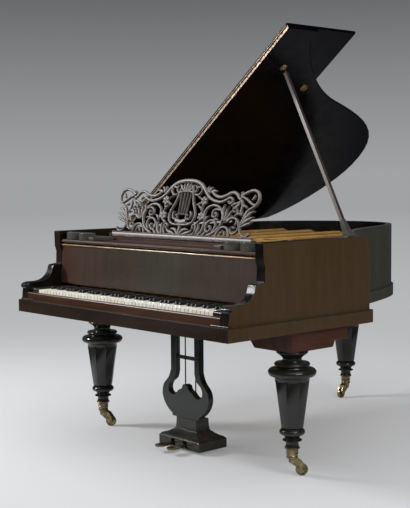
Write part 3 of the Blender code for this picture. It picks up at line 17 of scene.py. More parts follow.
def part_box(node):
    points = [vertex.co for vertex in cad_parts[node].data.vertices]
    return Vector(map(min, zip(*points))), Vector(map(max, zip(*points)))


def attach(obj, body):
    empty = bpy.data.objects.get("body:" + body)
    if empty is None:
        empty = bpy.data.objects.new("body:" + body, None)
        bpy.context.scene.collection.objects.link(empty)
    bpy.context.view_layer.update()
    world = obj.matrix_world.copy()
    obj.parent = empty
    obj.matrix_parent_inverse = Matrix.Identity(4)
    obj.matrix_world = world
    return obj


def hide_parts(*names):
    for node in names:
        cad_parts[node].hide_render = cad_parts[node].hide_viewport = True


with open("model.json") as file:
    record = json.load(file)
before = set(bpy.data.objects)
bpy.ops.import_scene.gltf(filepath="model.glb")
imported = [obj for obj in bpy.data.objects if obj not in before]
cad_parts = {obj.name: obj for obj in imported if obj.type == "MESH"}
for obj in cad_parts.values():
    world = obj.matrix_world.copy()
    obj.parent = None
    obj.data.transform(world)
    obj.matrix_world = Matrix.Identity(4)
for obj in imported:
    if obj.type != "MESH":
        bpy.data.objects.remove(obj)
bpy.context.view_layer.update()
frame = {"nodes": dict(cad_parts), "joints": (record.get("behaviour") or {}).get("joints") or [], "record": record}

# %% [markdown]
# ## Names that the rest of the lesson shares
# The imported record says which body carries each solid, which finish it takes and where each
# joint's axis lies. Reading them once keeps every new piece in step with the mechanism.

RECORD = frame["record"]
BODY_OF = {}
for body, members in RECORD["behaviour"]["bodies"].items():
    for member in members:
        BODY_OF[member] = body
SLOT_OF = {part["node"]: part["material_slot"] for part in RECORD["subparts"]}
JOINTS = {joint["name"]: joint for joint in frame["joints"]}
LEGS = ("bass", "treble", "rear")

# %% [markdown]
# ## The camera
# A long lens from the treble side, a little above the key tops, makes the verticals stand nearly
# parallel, which is how pianos are usually pictured. The turns are written as a product of three
# plain rotations, so each can be read on its own.

# %% Place the camera
CAMERA_PLACE = (3.6401, -3.7423, 1.2241)
CAMERA_YAW = 0.8325
CAMERA_TILT = 0.0729
CAMERA_ROLL = -0.0072
LENS_MM = 96.74

camera_data = bpy.data.cameras.new("studio_camera")
camera_data.sensor_fit = "HORIZONTAL"
camera_data.sensor_width = 36.0
camera_data.lens = LENS_MM
camera = bpy.data.objects.new("studio_camera", camera_data)
bpy.context.scene.collection.objects.link(camera)
turn = (Matrix.Rotation(CAMERA_YAW, 4, "Z") @ Matrix.Rotation(math.pi / 2 - CAMERA_TILT, 4, "X")
        @ Matrix.Rotation(CAMERA_ROLL, 4, "Z"))
camera.matrix_world = Matrix.Translation(CAMERA_PLACE) @ turn
bpy.context.scene.camera = camera
bpy.context.scene.view_settings.view_transform = "Standard"

# %% [markdown]
# ## Colours and shader nodes
# Finishes are written as the hex colours a painter would note down. One function turns them to
# the linear values that a shader wants, and one adds a node with its settings and links.

# %% Colour and node helpers


def hex_colour(code):
    """Linear red, green, blue and alpha from an sRGB hex code."""
    values = []
    for k in (0, 2, 4):
        share = int(code[k:k + 2], 16) / 255
        values.append(share / 12.92 if share <= 0.04045 else ((share + 0.055) / 1.055) ** 2.4)
    return (*values, 1.0)


def add(tree, kind, inputs=None, **settings):
    """Add a node, set its settings, then fill or link its inputs."""
    made = tree.nodes.new(kind)
    for name, value in settings.items():
        setattr(made, name, value)
    for key, value in (inputs or {}).items():
        if isinstance(value, bpy.types.NodeSocket):
            tree.links.new(value, made.inputs[key])
        else:
            made.inputs[key].default_value = value
    return made


def new_finish(name, **sockets):
    """A material with one Principled shader whose even values sit on its own sockets."""
    material = bpy.data.materials.new(name)
    material.use_nodes = True
    shader = material.node_tree.nodes["Principled BSDF"]
    for socket, value in sockets.items():
        shader.inputs[socket.replace("_", " ")].default_value = value
    return material, material.node_tree, shader


def ramp(tree, factor, stops):
    """A colour ramp through hex colours at the given shares."""
    made = add(tree, "ShaderNodeValToRGB", {"Fac": factor})
    elements = made.color_ramp.elements
    while len(elements) < len(stops):
        elements.new(0.5)
    for element, (share, code) in zip(elements, stops):
        element.position = share
        element.color = hex_colour(code)
    return made.outputs["Color"]


def spread(tree, value, low, high):
    """A number from a 0 to 1 pattern, spread between two limits."""
    made = add(tree, "ShaderNodeMapRange", {"Value": value, "From Min": 0.3, "From Max": 0.7,
                                            "To Min": low, "To Max": high})
    return made.outputs["Result"]


# %% [markdown]
# ## Veneer under shellac
# The case is veneered in a dark, close-grained wood and French polished: shellac rubbed on with
# a pad until it is a thin glassy film. The eye gets two things, a warm figure that runs one way
# and a clear coat over it. Noise that is stretched along the grain gives the figure, a finer one
# gives the pores, and the coat is the shader's own. Pores are about 0.3 mm wide, too fine to
# show here, so they are drawn at about 1.5 mm.

# %% Veneers
PORE_WIDTH = 0.0015
FIGURE_WIDTH = 0.028


def veneer(name, dark, middle, light, along, gloss=0.30, tints=None):
    """French-polished veneer with grain along X, Y or Z, and tints that change across it."""
    material, tree, shader = new_finish(name, Specular_IOR_Level=0.28, Coat_Weight=0.05,
                                        Coat_Roughness=0.12)
    coords = add(tree, "ShaderNodeTexCoord").outputs["Object"]
    stretch = [1.0, 1.0, 1.0]
    stretch["XYZ".index(along)] = 0.07
    place = add(tree, "ShaderNodeMapping", {"Vector": coords, "Scale": stretch})
    figure = add(tree, "ShaderNodeTexNoise", {"Vector": place.outputs["Vector"],
                                              "Scale": 1 / FIGURE_WIDTH, "Detail": 5.0,
                                              "Roughness": 0.55, "Distortion": 0.6})
    cloud = add(tree, "ShaderNodeTexNoise", {"Vector": coords, "Scale": 2.6, "Detail": 2.0})
    mixed = add(tree, "ShaderNodeMix", {"Factor": 0.35, "A": figure.outputs["Fac"],
                                        "B": cloud.outputs["Fac"]})
    colour = ramp(tree, mixed.outputs["Result"], ((0.32, dark), (0.50, middle), (0.68, light)))
    fine = [1.0, 1.0, 1.0]
    fine["XYZ".index(along)] = 0.03
    pore_place = add(tree, "ShaderNodeMapping", {"Vector": coords, "Scale": fine})
    pores = add(tree, "ShaderNodeTexNoise", {"Vector": pore_place.outputs["Vector"],
                                             "Scale": 1 / PORE_WIDTH, "Detail": 2.0})
    pore_depth = spread(tree, pores.outputs["Fac"], 0.86, 1.07)
    shaded = add(tree, "ShaderNodeVectorMath", {0: colour, "Scale": pore_depth},
                 operation="SCALE").outputs["Vector"]
    if tints:
        across = add(tree, "ShaderNodeSeparateXYZ", {"Vector": coords}).outputs["X"]
        share = add(tree, "ShaderNodeMapRange", {"Value": across, "From Min": -0.65,
                                                 "From Max": 0.65}).outputs["Result"]
        shaded = add(tree, "ShaderNodeVectorMath", {0: shaded, 1: ramp(tree, share, tints)},
                     operation="MULTIPLY").outputs["Vector"]
    tree.links.new(shaded, shader.inputs["Base Color"])
    tree.links.new(spread(tree, cloud.outputs["Fac"], gloss - 0.06, gloss + 0.10),
                   shader.inputs["Roughness"])
    bump = add(tree, "ShaderNodeBump", {"Strength": 0.10, "Distance": 0.0004,
                                        "Height": pores.outputs["Fac"]})
    tree.links.new(bump.outputs["Normal"], shader.inputs["Normal"])
    return material


# The case veneer has two copies: a lighter one for the sides, with painted sheen, and a darker one for faces
# turned to the front and inwards, with painted shade.
SIDE_VENEER_PAINTED_SHEEN = veneer("veneer_lightened_for_painted_sheen", "463520", "4A3925", "503E29", "Z")
DARK_VENEER_PAINTED_SHADE = veneer("veneer_darkened_for_painted_shade", "1F1712", "2A1F18", "35271E", "X")
ROSEWOOD_ALONG_X = veneer("polished_rosewood", "2C1A10", "40291A", "543722", "X")
# A grey-green copy of the case veneer for the bent side: a painted reflection of the grazing light it catches.
BENT_SIDE_PAINTED_REFLECTION = veneer("bent_veneer_painted_reflection", "3A3A2F", "434337", "4C4C40", "Z")
FALLBOARD_WOOD = veneer("polished_fallboard", "3F3B36", "45413B", "4B4741", "Z", 0.30,
                        ((0.0, "FFC6BC"), (0.30, "F6E2D6"), (0.55, "F6FFF2"), (0.75, "FFF0EA"),
                         (1.0, "FFDCDC")))
ROSEWOOD_ALONG_Y = veneer("polished_rosewood_blocks", "351A14", "482A20", "5A382A", "Y")

# %% [markdown]
# ## Ebonised wood
# Legs, lyre and lid are pearwood or beech stained black and polished until they mirror the room.
# A real polished panel is never quite flat, so a very weak, wide bump bends the reflections, and
# a finer noise dulls the gloss where hands and dusters have been.

# %% Ebonised finish


def ebonised_finish(name, code, worn, gloss, wave, shine):
    """Black-stained wood under a clear polish."""
    material, tree, shader = new_finish(name, Specular_IOR_Level=shine)
    coords = add(tree, "ShaderNodeTexCoord").outputs["Object"]
    rub = add(tree, "ShaderNodeTexNoise", {"Vector": coords, "Scale": 11.0, "Detail": 2.0})
    tone = ramp(tree, rub.outputs["Fac"], ((0.35, code), (0.75, worn)))
    tree.links.new(tone, shader.inputs["Base Color"])
    tree.links.new(spread(tree, rub.outputs["Fac"], gloss, gloss + 0.14),
                   shader.inputs["Roughness"])
    swell = add(tree, "ShaderNodeTexNoise", {"Vector": coords, "Scale": 9.0, "Detail": 0.0})
    bump = add(tree, "ShaderNodeBump", {"Strength": 0.25, "Distance": wave,
                                        "Height": swell.outputs["Fac"]})
    tree.links.new(bump.outputs["Normal"], shader.inputs["Normal"])
    return material


EBONISED = ebonised_finish("ebonised_shellac", "1C1C19", "272723", 0.12, 0.0003, 0.5)
CHEEK_BLACK = ebonised_finish("ebonised_cheeks", "0E0D0C", "1A1512", 0.14, 0.0003, 0.4)
FOOT_BLACK = ebonised_finish("ebonised_lyre_foot", "25241F", "35342E", 0.16, 0.0002, 0.5)
TRAY_BLACK = ebonised_finish("ebonised_tray", "2E1C17", "40271F", 0.42, 0.0002, 0.15)
LID_BLACK = ebonised_finish("ebonised_lid", "020207", "05050D", 0.16, 0.0002, 0.10)
WORN_BLACK = ebonised_finish("worn_ebonised", "42413C", "565550", 0.20, 0.0002, 0.4)
# A bright gold-brown for two beads: a painted highlight line.
BEAD_PAINTED_HIGHLIGHT = ebonised_finish("gold_bead_painted_highlight", "7C5A2C", "A07C46", 0.16, 0.0001, 0.8)
PROP_WOOD = ebonised_finish("greyed_prop_wood", "332B28", "463C38", 0.26, 0.0002, 0.5)
# The prop's painted highlight fades in between these heights.
HIGHLIGHT_FADE_FROM = 1.02
HIGHLIGHT_FADE_TO = 1.40


def prop_highlight_finish():
    """Stained wood with a painted highlight that grows paler towards the top."""
    material, tree, shader = new_finish("prop_wood_painted_highlight", Roughness=0.32)
    coords = add(tree, "ShaderNodeTexCoord").outputs["Object"]
    height = add(tree, "ShaderNodeSeparateXYZ", {"Vector": coords}).outputs["Z"]
    share = add(tree, "ShaderNodeMapRange", {"Value": height, "From Min": HIGHLIGHT_FADE_FROM,
                                             "From Max": HIGHLIGHT_FADE_TO}).outputs["Result"]
    tree.links.new(ramp(tree, share, ((0.0, "6F675F"), (1.0, "A6A09C"))),
                   shader.inputs["Base Color"])
    return material


PROP_PAINTED_HIGHLIGHT = prop_highlight_finish()

# %% [markdown]
# ## Fretwork, ivory and ebony
# The desk is fretted from black-stained wood, waxed and handled until its raised parts turn a
# soft pewter grey, in patches about 15 mm across. Ivory is warm white with faint lines about
# 2 mm apart, and each key has a shade of its own. The ivory is darker along the slit between two
# keys, drawn about 1.5 mm wide so that it shows. The sharps are real ebony, satin.

# %% Fretwork, ivory and ebony finishes
KEY_PITCH = 0.0235
SLIT_SHARE = 0.075


def fretwork_finish():
    """Waxed, stained fretwork, paler where it is rubbed."""
    material, tree, shader = new_finish("rubbed_black_fretwork", Coat_Weight=0.15,
                                        Coat_Roughness=0.35)
    coords = add(tree, "ShaderNodeTexCoord").outputs["Object"]
    patch = add(tree, "ShaderNodeTexNoise", {"Vector": coords, "Scale": 60.0, "Detail": 5.0})
    colour = ramp(tree, patch.outputs["Fac"], ((0.30, "4B4644"), (0.52, "68625F"),
                                               (0.75, "847D79")))
    tree.links.new(colour, shader.inputs["Base Color"])
    tree.links.new(spread(tree, patch.outputs["Fac"], 0.38, 0.56), shader.inputs["Roughness"])
    grit = add(tree, "ShaderNodeTexNoise", {"Vector": coords, "Scale": 700.0, "Detail": 2.0})
    bump = add(tree, "ShaderNodeBump", {"Strength": 0.15, "Distance": 0.0003,
                                        "Height": grit.outputs["Fac"]})
    tree.links.new(bump.outputs["Normal"], shader.inputs["Normal"])
    return material


def ivory_finish():
    """Ivory plates, each key a little warmer or cooler than the next."""
    material, tree, shader = new_finish("satin_ivory", Roughness=0.30, Subsurface_Weight=0.08,
                                        Coat_Weight=0.2, Coat_Roughness=0.2)
    coords = add(tree, "ShaderNodeTexCoord").outputs["Object"]
    across = add(tree, "ShaderNodeSeparateXYZ", {"Vector": coords}).outputs["X"]
    number = add(tree, "ShaderNodeMath", {0: across, 1: 1 / KEY_PITCH}, operation="MULTIPLY")
    whole = add(tree, "ShaderNodeMath", {0: number.outputs["Value"]}, operation="FLOOR")
    shade = add(tree, "ShaderNodeTexWhiteNoise", {"W": whole.outputs["Value"]},
                noise_dimensions="1D")
    key_tone = ramp(tree, shade.outputs["Value"], ((0.0, "F4ECD8"), (0.5, "FAF5E6"),
                                                   (1.0, "FFFDF4")))
    grain_place = add(tree, "ShaderNodeMapping", {"Vector": coords, "Scale": (1.0, 0.06, 1.0)})
    grain = add(tree, "ShaderNodeTexNoise", {"Vector": grain_place.outputs["Vector"],
                                             "Scale": 500.0, "Detail": 2.0})
    depth = spread(tree, grain.outputs["Fac"], 0.95, 1.0)
    within = add(tree, "ShaderNodeMath", {0: number.outputs["Value"]}, operation="FRACT")
    off_middle = add(tree, "ShaderNodeMath", {0: within.outputs["Value"], 1: 0.5},
                     operation="SUBTRACT")
    to_slit = add(tree, "ShaderNodeMath", {0: off_middle.outputs["Value"]},
                  operation="ABSOLUTE")
    slit = add(tree, "ShaderNodeMapRange", {"Value": to_slit.outputs["Value"],
                                            "From Min": 0.5 - SLIT_SHARE,
                                            "From Max": 0.5 - SLIT_SHARE / 2, "To Min": 1.0,
                                            "To Max": 0.25})
    both = add(tree, "ShaderNodeMath", {0: depth, 1: slit.outputs["Result"]},
               operation="MULTIPLY")
    toned = add(tree, "ShaderNodeVectorMath", {0: key_tone, "Scale": both.outputs["Value"]},
                operation="SCALE")
    tree.links.new(toned.outputs["Vector"], shader.inputs["Base Color"])
    return material


def grained_wood(name, dark, light, along, roughness, ring=0.004, coat=0.0):
    """Bare or varnished wood with an even line along X, Y or Z."""
    material, tree, shader = new_finish(name, Coat_Weight=coat, Coat_Roughness=0.25)
    coords = add(tree, "ShaderNodeTexCoord").outputs["Object"]
    stretch = [1.0, 1.0, 1.0]
    stretch["XYZ".index(along)] = 0.04
    place = add(tree, "ShaderNodeMapping", {"Vector": coords, "Scale": stretch})
    grain = add(tree, "ShaderNodeTexNoise", {"Vector": place.outputs["Vector"],
                                             "Scale": 1 / ring, "Detail": 4.0})
    tree.links.new(ramp(tree, grain.outputs["Fac"], ((0.35, dark), (0.65, light))),
                   shader.inputs["Base Color"])
    tree.links.new(spread(tree, grain.outputs["Fac"], roughness - 0.05, roughness + 0.08),
                   shader.inputs["Roughness"])
    bump = add(tree, "ShaderNodeBump", {"Strength": 0.12, "Distance": 0.0003,
                                        "Height": grain.outputs["Fac"]})
    tree.links.new(bump.outputs["Normal"], shader.inputs["Normal"])
    return material


FRETWORK = fretwork_finish()
IVORY = ivory_finish()
EBONY = grained_wood("satin_ebony", "0B0A0A", "1B1918", "Y", 0.30, 0.0012, 0.3)
SPRUCE = grained_wood("varnished_spruce", "9A6B34", "BC8C4E", "Y", 0.42, 0.0024, 0.25)
BEECH = grained_wood("beech", "9C7148", "B98D63", "X", 0.55)
KEY_WOOD = grained_wood("limewood_sticks", "B08A5C", "CBA97B", "Y", 0.60)

# %% [markdown]
# ## Brass, bronzed iron, steel and felt
# Casters, pedals and hinges are cast or rolled brass that has browned with age: a metal whose
# colour drifts from yellow to umber while its gloss breaks up. The iron frame is painted with
# bronze powder in varnish, so it is only partly metallic and shows the cast grain. Wire is drawn
# steel, or steel wound with copper for the bass. Felt scatters light with a soft sheen.

# %% Metals and felt


def aged_metal(name, stops, low, high, size=0.02, metallic=1.0, grain=0.0002):
    """A metal whose colour and gloss drift over patches of the given size."""
    material, tree, shader = new_finish(name, Metallic=metallic)
    coords = add(tree, "ShaderNodeTexCoord").outputs["Object"]
    patch = add(tree, "ShaderNodeTexNoise", {"Vector": coords, "Scale": 1 / size, "Detail": 5.0,
                                             "Roughness": 0.6})
    tree.links.new(ramp(tree, patch.outputs["Fac"], stops), shader.inputs["Base Color"])
    tree.links.new(spread(tree, patch.outputs["Fac"], high, low), shader.inputs["Roughness"])
    pits = add(tree, "ShaderNodeTexNoise", {"Vector": coords, "Scale": 900.0, "Detail": 2.0})
    bump = add(tree, "ShaderNodeBump", {"Strength": 0.2, "Distance": grain,
                                        "Height": pits.outputs["Fac"]})
    tree.links.new(bump.outputs["Normal"], shader.inputs["Normal"])
    return material


def felt_finish(name, code):
    """Pressed wool felt."""
    material, tree, shader = new_finish(name, Roughness=0.95, Sheen_Weight=0.4)
    coords = add(tree, "ShaderNodeTexCoord").outputs["Object"]
    fibre = add(tree, "ShaderNodeTexNoise", {"Vector": coords, "Scale": 900.0, "Detail": 3.0})
    dark = "".join(f"{int(int(code[k:k + 2], 16) * 0.6):02X}" for k in (0, 2, 4))
    tree.links.new(ramp(tree, fibre.outputs["Fac"], ((0.3, dark), (0.7, code))),
                   shader.inputs["Base Color"])
    return material


BRASS = aged_metal("aged_brass", ((0.30, "5C513F"), (0.55, "8F8162"), (0.80, "C6B993")),
                   0.22, 0.42)
BRIGHT_BRASS = aged_metal("rubbed_brass", ((0.30, "A08A54"), (0.55, "CDB883"), (0.80, "EADBAE")),
                          0.26, 0.42, 0.008)
HINGE_BRASS = aged_metal("rolled_hinge_brass", ((0.30, "74655A"), (0.55, "998774"),
                                                (0.80, "C2B296")), 0.42, 0.60, 0.012)
BROWNED_BRASS = aged_metal("browned_brass", ((0.30, "2E2A24"), (0.55, "4A4336"),
                                            (0.80, "6A5E48")), 0.30, 0.48)
GILT = aged_metal("bronzed_iron", ((0.30, "CC9C52"), (0.55, "E0B268"), (0.80, "EEC684")),
                  0.36, 0.52, 0.05, 0.25, 0.0006)
# Between these heights the bars' dust and painted shade fade out.
DUST_AND_SHADE_FULL_BELOW = 0.912
DUST_AND_SHADE_GONE_ABOVE = 0.926


def darken_low_for_dust_and_shade(material):
    """Darken a finish low on its bars, as dust and as painted shade between the bars."""
    tree = material.node_tree
    socket = tree.nodes["Principled BSDF"].inputs["Base Color"]
    colour = socket.links[0].from_socket
    coords = add(tree, "ShaderNodeTexCoord").outputs["Object"]
    height = add(tree, "ShaderNodeSeparateXYZ", {"Vector": coords}).outputs["Z"]
    share = add(tree, "ShaderNodeMapRange", {"Value": height, "From Min": DUST_AND_SHADE_FULL_BELOW,
                                             "From Max": DUST_AND_SHADE_GONE_ABOVE}).outputs["Result"]
    tint = ramp(tree, share, ((0.0, "7A6A58"), (1.0, "FFFFFF")))
    dust_and_shade_mix = add(tree, "ShaderNodeVectorMath", {0: colour, 1: tint}, operation="MULTIPLY")
    tree.links.new(dust_and_shade_mix.outputs["Vector"], socket)


# The bronzed bars are darker low down, as dust and as painted shade between the bars.
darken_low_for_dust_and_shade(GILT)
STEEL = aged_metal("music_wire", ((0.30, "8C8A86"), (0.70, "B4B2AE")), 0.22, 0.36, 0.05)
COPPER = aged_metal("copper_winding", ((0.30, "8A5232"), (0.70, "B4724A")), 0.30, 0.44, 0.05)
FELT = felt_finish("damper_felt", "D8D2C2")
RED_FELT = felt_finish("key_felt", "7C1D1A")
print(len(bpy.data.materials), "materials in the file")

# %% [markdown]
# ## Pieces on their bodies
# Every new piece ends as a plain mesh at the origin. It rides on the body of the solid that it
# stands for and hides it.

# %% Mesh and body helpers


def mesh_piece(name, bm, material, smooth_angle=38):
    """An object from a bmesh, smooth except at its corners."""
    mesh = bpy.data.meshes.new(name)
    bm.to_mesh(mesh)
    bm.free()
    mesh.materials.append(material)
    mesh.shade_smooth()
    mesh.set_sharp_from_angle(angle=math.radians(smooth_angle))
    piece = bpy.data.objects.new(name, mesh)
    bpy.context.scene.collection.objects.link(piece)
    return piece


def settled(piece):
    """The same object with its modifiers turned into a plain mesh."""
    bpy.context.view_layer.update()
    graph = bpy.context.evaluated_depsgraph_get()
    mesh = bpy.data.meshes.new_from_object(piece.evaluated_get(graph))
    piece.modifiers.clear()
    piece.data = mesh
    return piece


def on_body(piece, body, slot, *stands_for):
    """Let a piece ride on a body and stand for the named solids; the slot is not used."""
    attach(piece, body)
    if stands_for:
        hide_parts(*stands_for)
    return piece


def for_node(piece, node):
    """Let a piece stand for one solid, on its body."""
    return on_body(piece, BODY_OF[node], SLOT_OF[node], node)


def rounded_edges(piece, width, segments=3):
    """Round a piece's corners by a width, and keep its flats flat."""
    bevel = piece.modifiers.new("rounded_edges", "BEVEL")
    bevel.width = width
    bevel.segments = segments
    bevel.limit_method = "ANGLE"
    bevel.angle_limit = math.radians(35)
    bevel.harden_normals = True
    return settled(piece)


def clean_copy(node):
    """A bmesh of a solid with its loose triangles joined into whole flats."""
    bm = bmesh.new()
    bm.from_mesh(frame["nodes"][node].data)
    bmesh.ops.remove_doubles(bm, verts=bm.verts, dist=0.00002)
    bmesh.ops.dissolve_limit(bm, angle_limit=math.radians(1), verts=bm.verts, edges=bm.edges)
    return bm


def softened(node, material, width, segments=3):
    """A solid's own shape with the small rounds that a maker sands on."""
    piece = mesh_piece("fine_" + node, clean_copy(node), material)
    return for_node(rounded_edges(piece, width, segments), node)


# %% [markdown]
# ## The case and its bottom
# Wooden panels never end in a knife edge: the veneer is eased by a millimetre or two, and that
# round is what catches the light along every arris. Copying each solid and rounding its corners
# keeps the shape exactly and gives those highlights.

# %% Case, blocks and props in wood
ARRIS = 0.0022
CHEEK_FOOT = 0.83
CASE_MIDDLE = Vector((-0.10, 0.05, 0.0))


def two_tone(node, outside, inside, width):
    """A wall with veneer outside and another finish on its inside, edges and arm."""
    piece = rounded_edges(mesh_piece("fine_" + node, clean_copy(node), inside), width, 3)
    piece.data.materials.append(outside)
    for face in piece.data.polygons:
        away = face.center - CASE_MIDDLE
        away.z = 0.0
        if abs(face.normal.z) < 0.5 and face.normal.y > -0.5 and face.normal.dot(away) > 0:
            face.material_index = 1
    return for_node(piece, node)


cheek = two_tone("bass_side", SIDE_VENEER_PAINTED_SHEEN, CHEEK_BLACK, ARRIS)
# The cheek's front face takes the darker copy of the case veneer, with painted shade.
cheek.data.materials.append(DARK_VENEER_PAINTED_SHADE)
for face in cheek.data.polygons:
    if face.normal.y < -0.5 and face.center.z > CHEEK_FOOT:
        face.material_index = 2
two_tone("treble_side", SIDE_VENEER_PAINTED_SHEEN, CHEEK_BLACK, ARRIS)
two_tone("bent_side", BENT_SIDE_PAINTED_REFLECTION, EBONISED, ARRIS)
# The plinth band's sides take the lighter copy, with painted sheen, and its front and inside take the darker one,
# with painted shade.
plinth = two_tone("plinth_band", SIDE_VENEER_PAINTED_SHEEN, DARK_VENEER_PAINTED_SHADE, 0.003)
# The plinth's bent part takes the grey-green copy, a painted reflection.
plinth.data.materials.append(BENT_SIDE_PAINTED_REFLECTION)
bend_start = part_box("treble_side")[1][1]
for face in plinth.data.polygons:
    if face.material_index == 1 and face.center.y > bend_start:
        face.material_index = 2
softened("key_bed", ROSEWOOD_ALONG_X, 0.001)
softened("frame_beams", BEECH, 0.003)
softened("pin_block", BEECH, 0.001)
softened("bridge", BEECH, 0.002)
softened("key_frame", BEECH, 0.001)
softened("key_slip", ROSEWOOD_ALONG_X, 0.002)
softened("key_block_bass", EBONISED, 0.003)
softened("key_block_treble", EBONISED, 0.003)
softened("fallboard", FALLBOARD_WOOD, 0.0015)
softened("desk_strut", LID_BLACK, 0.0010)
softened("prop_bracket", EBONISED, 0.002)
softened("half_prop", ROSEWOOD_ALONG_Y, 0.002)
for block in ("leg_block_bass", "leg_block_treble", "leg_block_rear"):
    softened(block, ROSEWOOD_ALONG_Y, 0.003)
softened("lid", LID_BLACK, 0.006, 4)
softened("lid_flap", LID_BLACK, 0.006, 4)
softened("lyre_crossbar", BROWNED_BRASS, 0.002)
softened("lid_hinge_front", BRASS, 0.0005, 2)
softened("lid_hinge_rear", BRASS, 0.0005, 2)
for where in LEGS:
    softened("caster_fork_" + where, BRASS, 0.0012)
for pedal in ("pedal_soft", "pedal_damper"):
    softened(pedal, BRASS, 0.0028)

# %% [markdown]
# ## Trees for what repeats
# Bolts, pins, knuckles and wires are one small form many times over. A Geometry Nodes tree says
# the form once, with named inputs for its sizes, and a bare mesh says where it goes: its points
# for studs, its edges for wires. Typing each copy out would be longer and harder to change.

# %% Two Geometry Nodes trees


def new_tree(name, inputs):
    """An empty tree with named inputs, and the identifier of each of them."""
    tree = bpy.data.node_groups.new(name, "GeometryNodeTree")
    keys = {}
    for label, kind in inputs:
        socket = tree.interface.new_socket(name=label, in_out="INPUT",
                                           socket_type="NodeSocket" + kind)
        keys[label] = socket.identifier
    tree.interface.new_socket(name="Result", in_out="OUTPUT", socket_type="NodeSocketGeometry")
    return tree, keys


def end_tree(tree, geometry, finish):
    """End a tree as one plain mesh in one finish."""
    plain = add(tree, "GeometryNodeRealizeInstances", {"Geometry": geometry})
    dressed = add(tree, "GeometryNodeSetMaterial", {"Geometry": plain.outputs["Geometry"],
                                                    "Material": finish})
    add(tree, "NodeGroupOutput", {"Result": dressed.outputs["Geometry"]})


def make_stud_tree():
    """A turned stud on every point of a mesh."""
    tree, keys = new_tree("turned_studs", (("Places", "Geometry"), ("Foot", "Float"),
                                           ("Head", "Float"), ("Length", "Float"),
                                           ("Turn", "Rotation"), ("Sides", "Int"),
                                           ("Finish", "Material")))
    given = add(tree, "NodeGroupInput").outputs
    points = add(tree, "GeometryNodeMeshToPoints", {"Mesh": given["Places"]})
    stud = add(tree, "GeometryNodeMeshCone", {"Vertices": given["Sides"],
                                              "Radius Bottom": given["Foot"],
                                              "Radius Top": given["Head"],
                                              "Depth": given["Length"]})
    copies = add(tree, "GeometryNodeInstanceOnPoints", {"Points": points.outputs["Points"],
                                                        "Instance": stud.outputs["Mesh"],
                                                        "Rotation": given["Turn"]})
    end_tree(tree, copies.outputs["Instances"], given["Finish"])
    return tree, keys


def make_wire_tree():
    """A round wire along every chain of edges."""
    tree, keys = new_tree("drawn_wires", (("Lines", "Geometry"), ("Radius", "Float"),
                                          ("Sides", "Int"), ("Finish", "Material")))
    given = add(tree, "NodeGroupInput").outputs
    chains = add(tree, "GeometryNodeMeshToCurve", {"Mesh": given["Lines"]})
    section = add(tree, "GeometryNodeCurvePrimitiveCircle", {"Resolution": given["Sides"],
                                                             "Radius": given["Radius"]})
    wires = add(tree, "GeometryNodeCurveToMesh", {"Curve": chains.outputs["Curve"],
                                                  "Profile Curve": section.outputs["Curve"],
                                                  "Fill Caps": True})
    end_tree(tree, wires.outputs["Mesh"], given["Finish"])
    return tree, keys


STUDS = make_stud_tree()
WIRES = make_wire_tree()


def grown(name, tree_and_keys, points, edges=(), **values):
    """The plain mesh that a tree grows on some points and edges."""
    tree, keys = tree_and_keys
    mesh = bpy.data.meshes.new(name)
    mesh.from_pydata([tuple(point) for point in points], list(edges), [])
    piece = bpy.data.objects.new(name, mesh)
    bpy.context.scene.collection.objects.link(piece)
    modifier = piece.modifiers.new("growth", "NODES")
    modifier.node_group = tree
    for label, value in values.items():
        modifier[keys[label]] = value
    settled(piece)
    piece.data.shade_smooth()
    piece.data.set_sharp_from_angle(angle=math.radians(40))
    return piece


def chain(points):
    """Edges that join points in a row."""
    return [(k, k + 1) for k in range(len(points) - 1)]


# %% [markdown]
# ## Curves and turnings
# Carved scrolls are drawn through a few chosen points. A Catmull-Rom curve passes through every
# one of them, so the points can be read straight off a drawing. Turned work is a profile spun
# round an upright axis.

# %% Curve and turning helpers


def smooth_path(points, steps=4):
    """Points along a Catmull-Rom curve through the given ones."""
    ends = [points[0], *points, points[-1]]
    path = []
    for k in range(len(points) - 1):
        a, b, c, d = (Vector(ends[k + j]) for j in range(4))
        for step in range(steps):
            t = step / steps
            path.append(0.5 * (2 * b + (c - a) * t + (2 * a - 5 * b + 4 * c - d) * t * t
                               + (3 * b - a - 3 * c + d) * t ** 3))
    path.append(Vector(points[-1]))
    return path


def spin(bm, profile, place, sides=64, axis=(0, 0, 1)):
    """Turn a profile of (radius, height) points about an axis through a place."""
    turn = Vector((0, 0, 1)).rotation_difference(Vector(axis)).to_matrix()
    rings = []
    for radius, height in profile:
        if radius < 1e-6:
            rings.append([bm.verts.new(Vector(place) + turn @ Vector((0, 0, height)))])
            continue
        ring = []
        for k in range(sides):
            a = 2 * math.pi * (k + 0.5) / sides
            spot = Vector((radius * math.cos(a), radius * math.sin(a), height))
            ring.append(bm.verts.new(Vector(place) + turn @ spot))
        rings.append(ring)
    made = []
    for one, two in zip(rings, rings[1:]):
        for k in range(sides):
            n = (k + 1) % sides
            corners = []
            for vert in (one[k % len(one)], one[n % len(one)], two[n % len(two)],
                         two[k % len(two)]):
                if vert not in corners:
                    corners.append(vert)
            if len(corners) > 2:
                made.append(bm.faces.new(corners))
    bmesh.ops.recalc_face_normals(bm, faces=made)


def round_over(radius, height, size, start, end, steps=8):
    """Profile points round a bead, from one angle to another in degrees."""
    points = []
    for k in range(steps + 1):
        a = math.radians(start + (end - start) * k / steps)
        points.append((radius + size * math.cos(a), height + size * math.sin(a)))
    return points


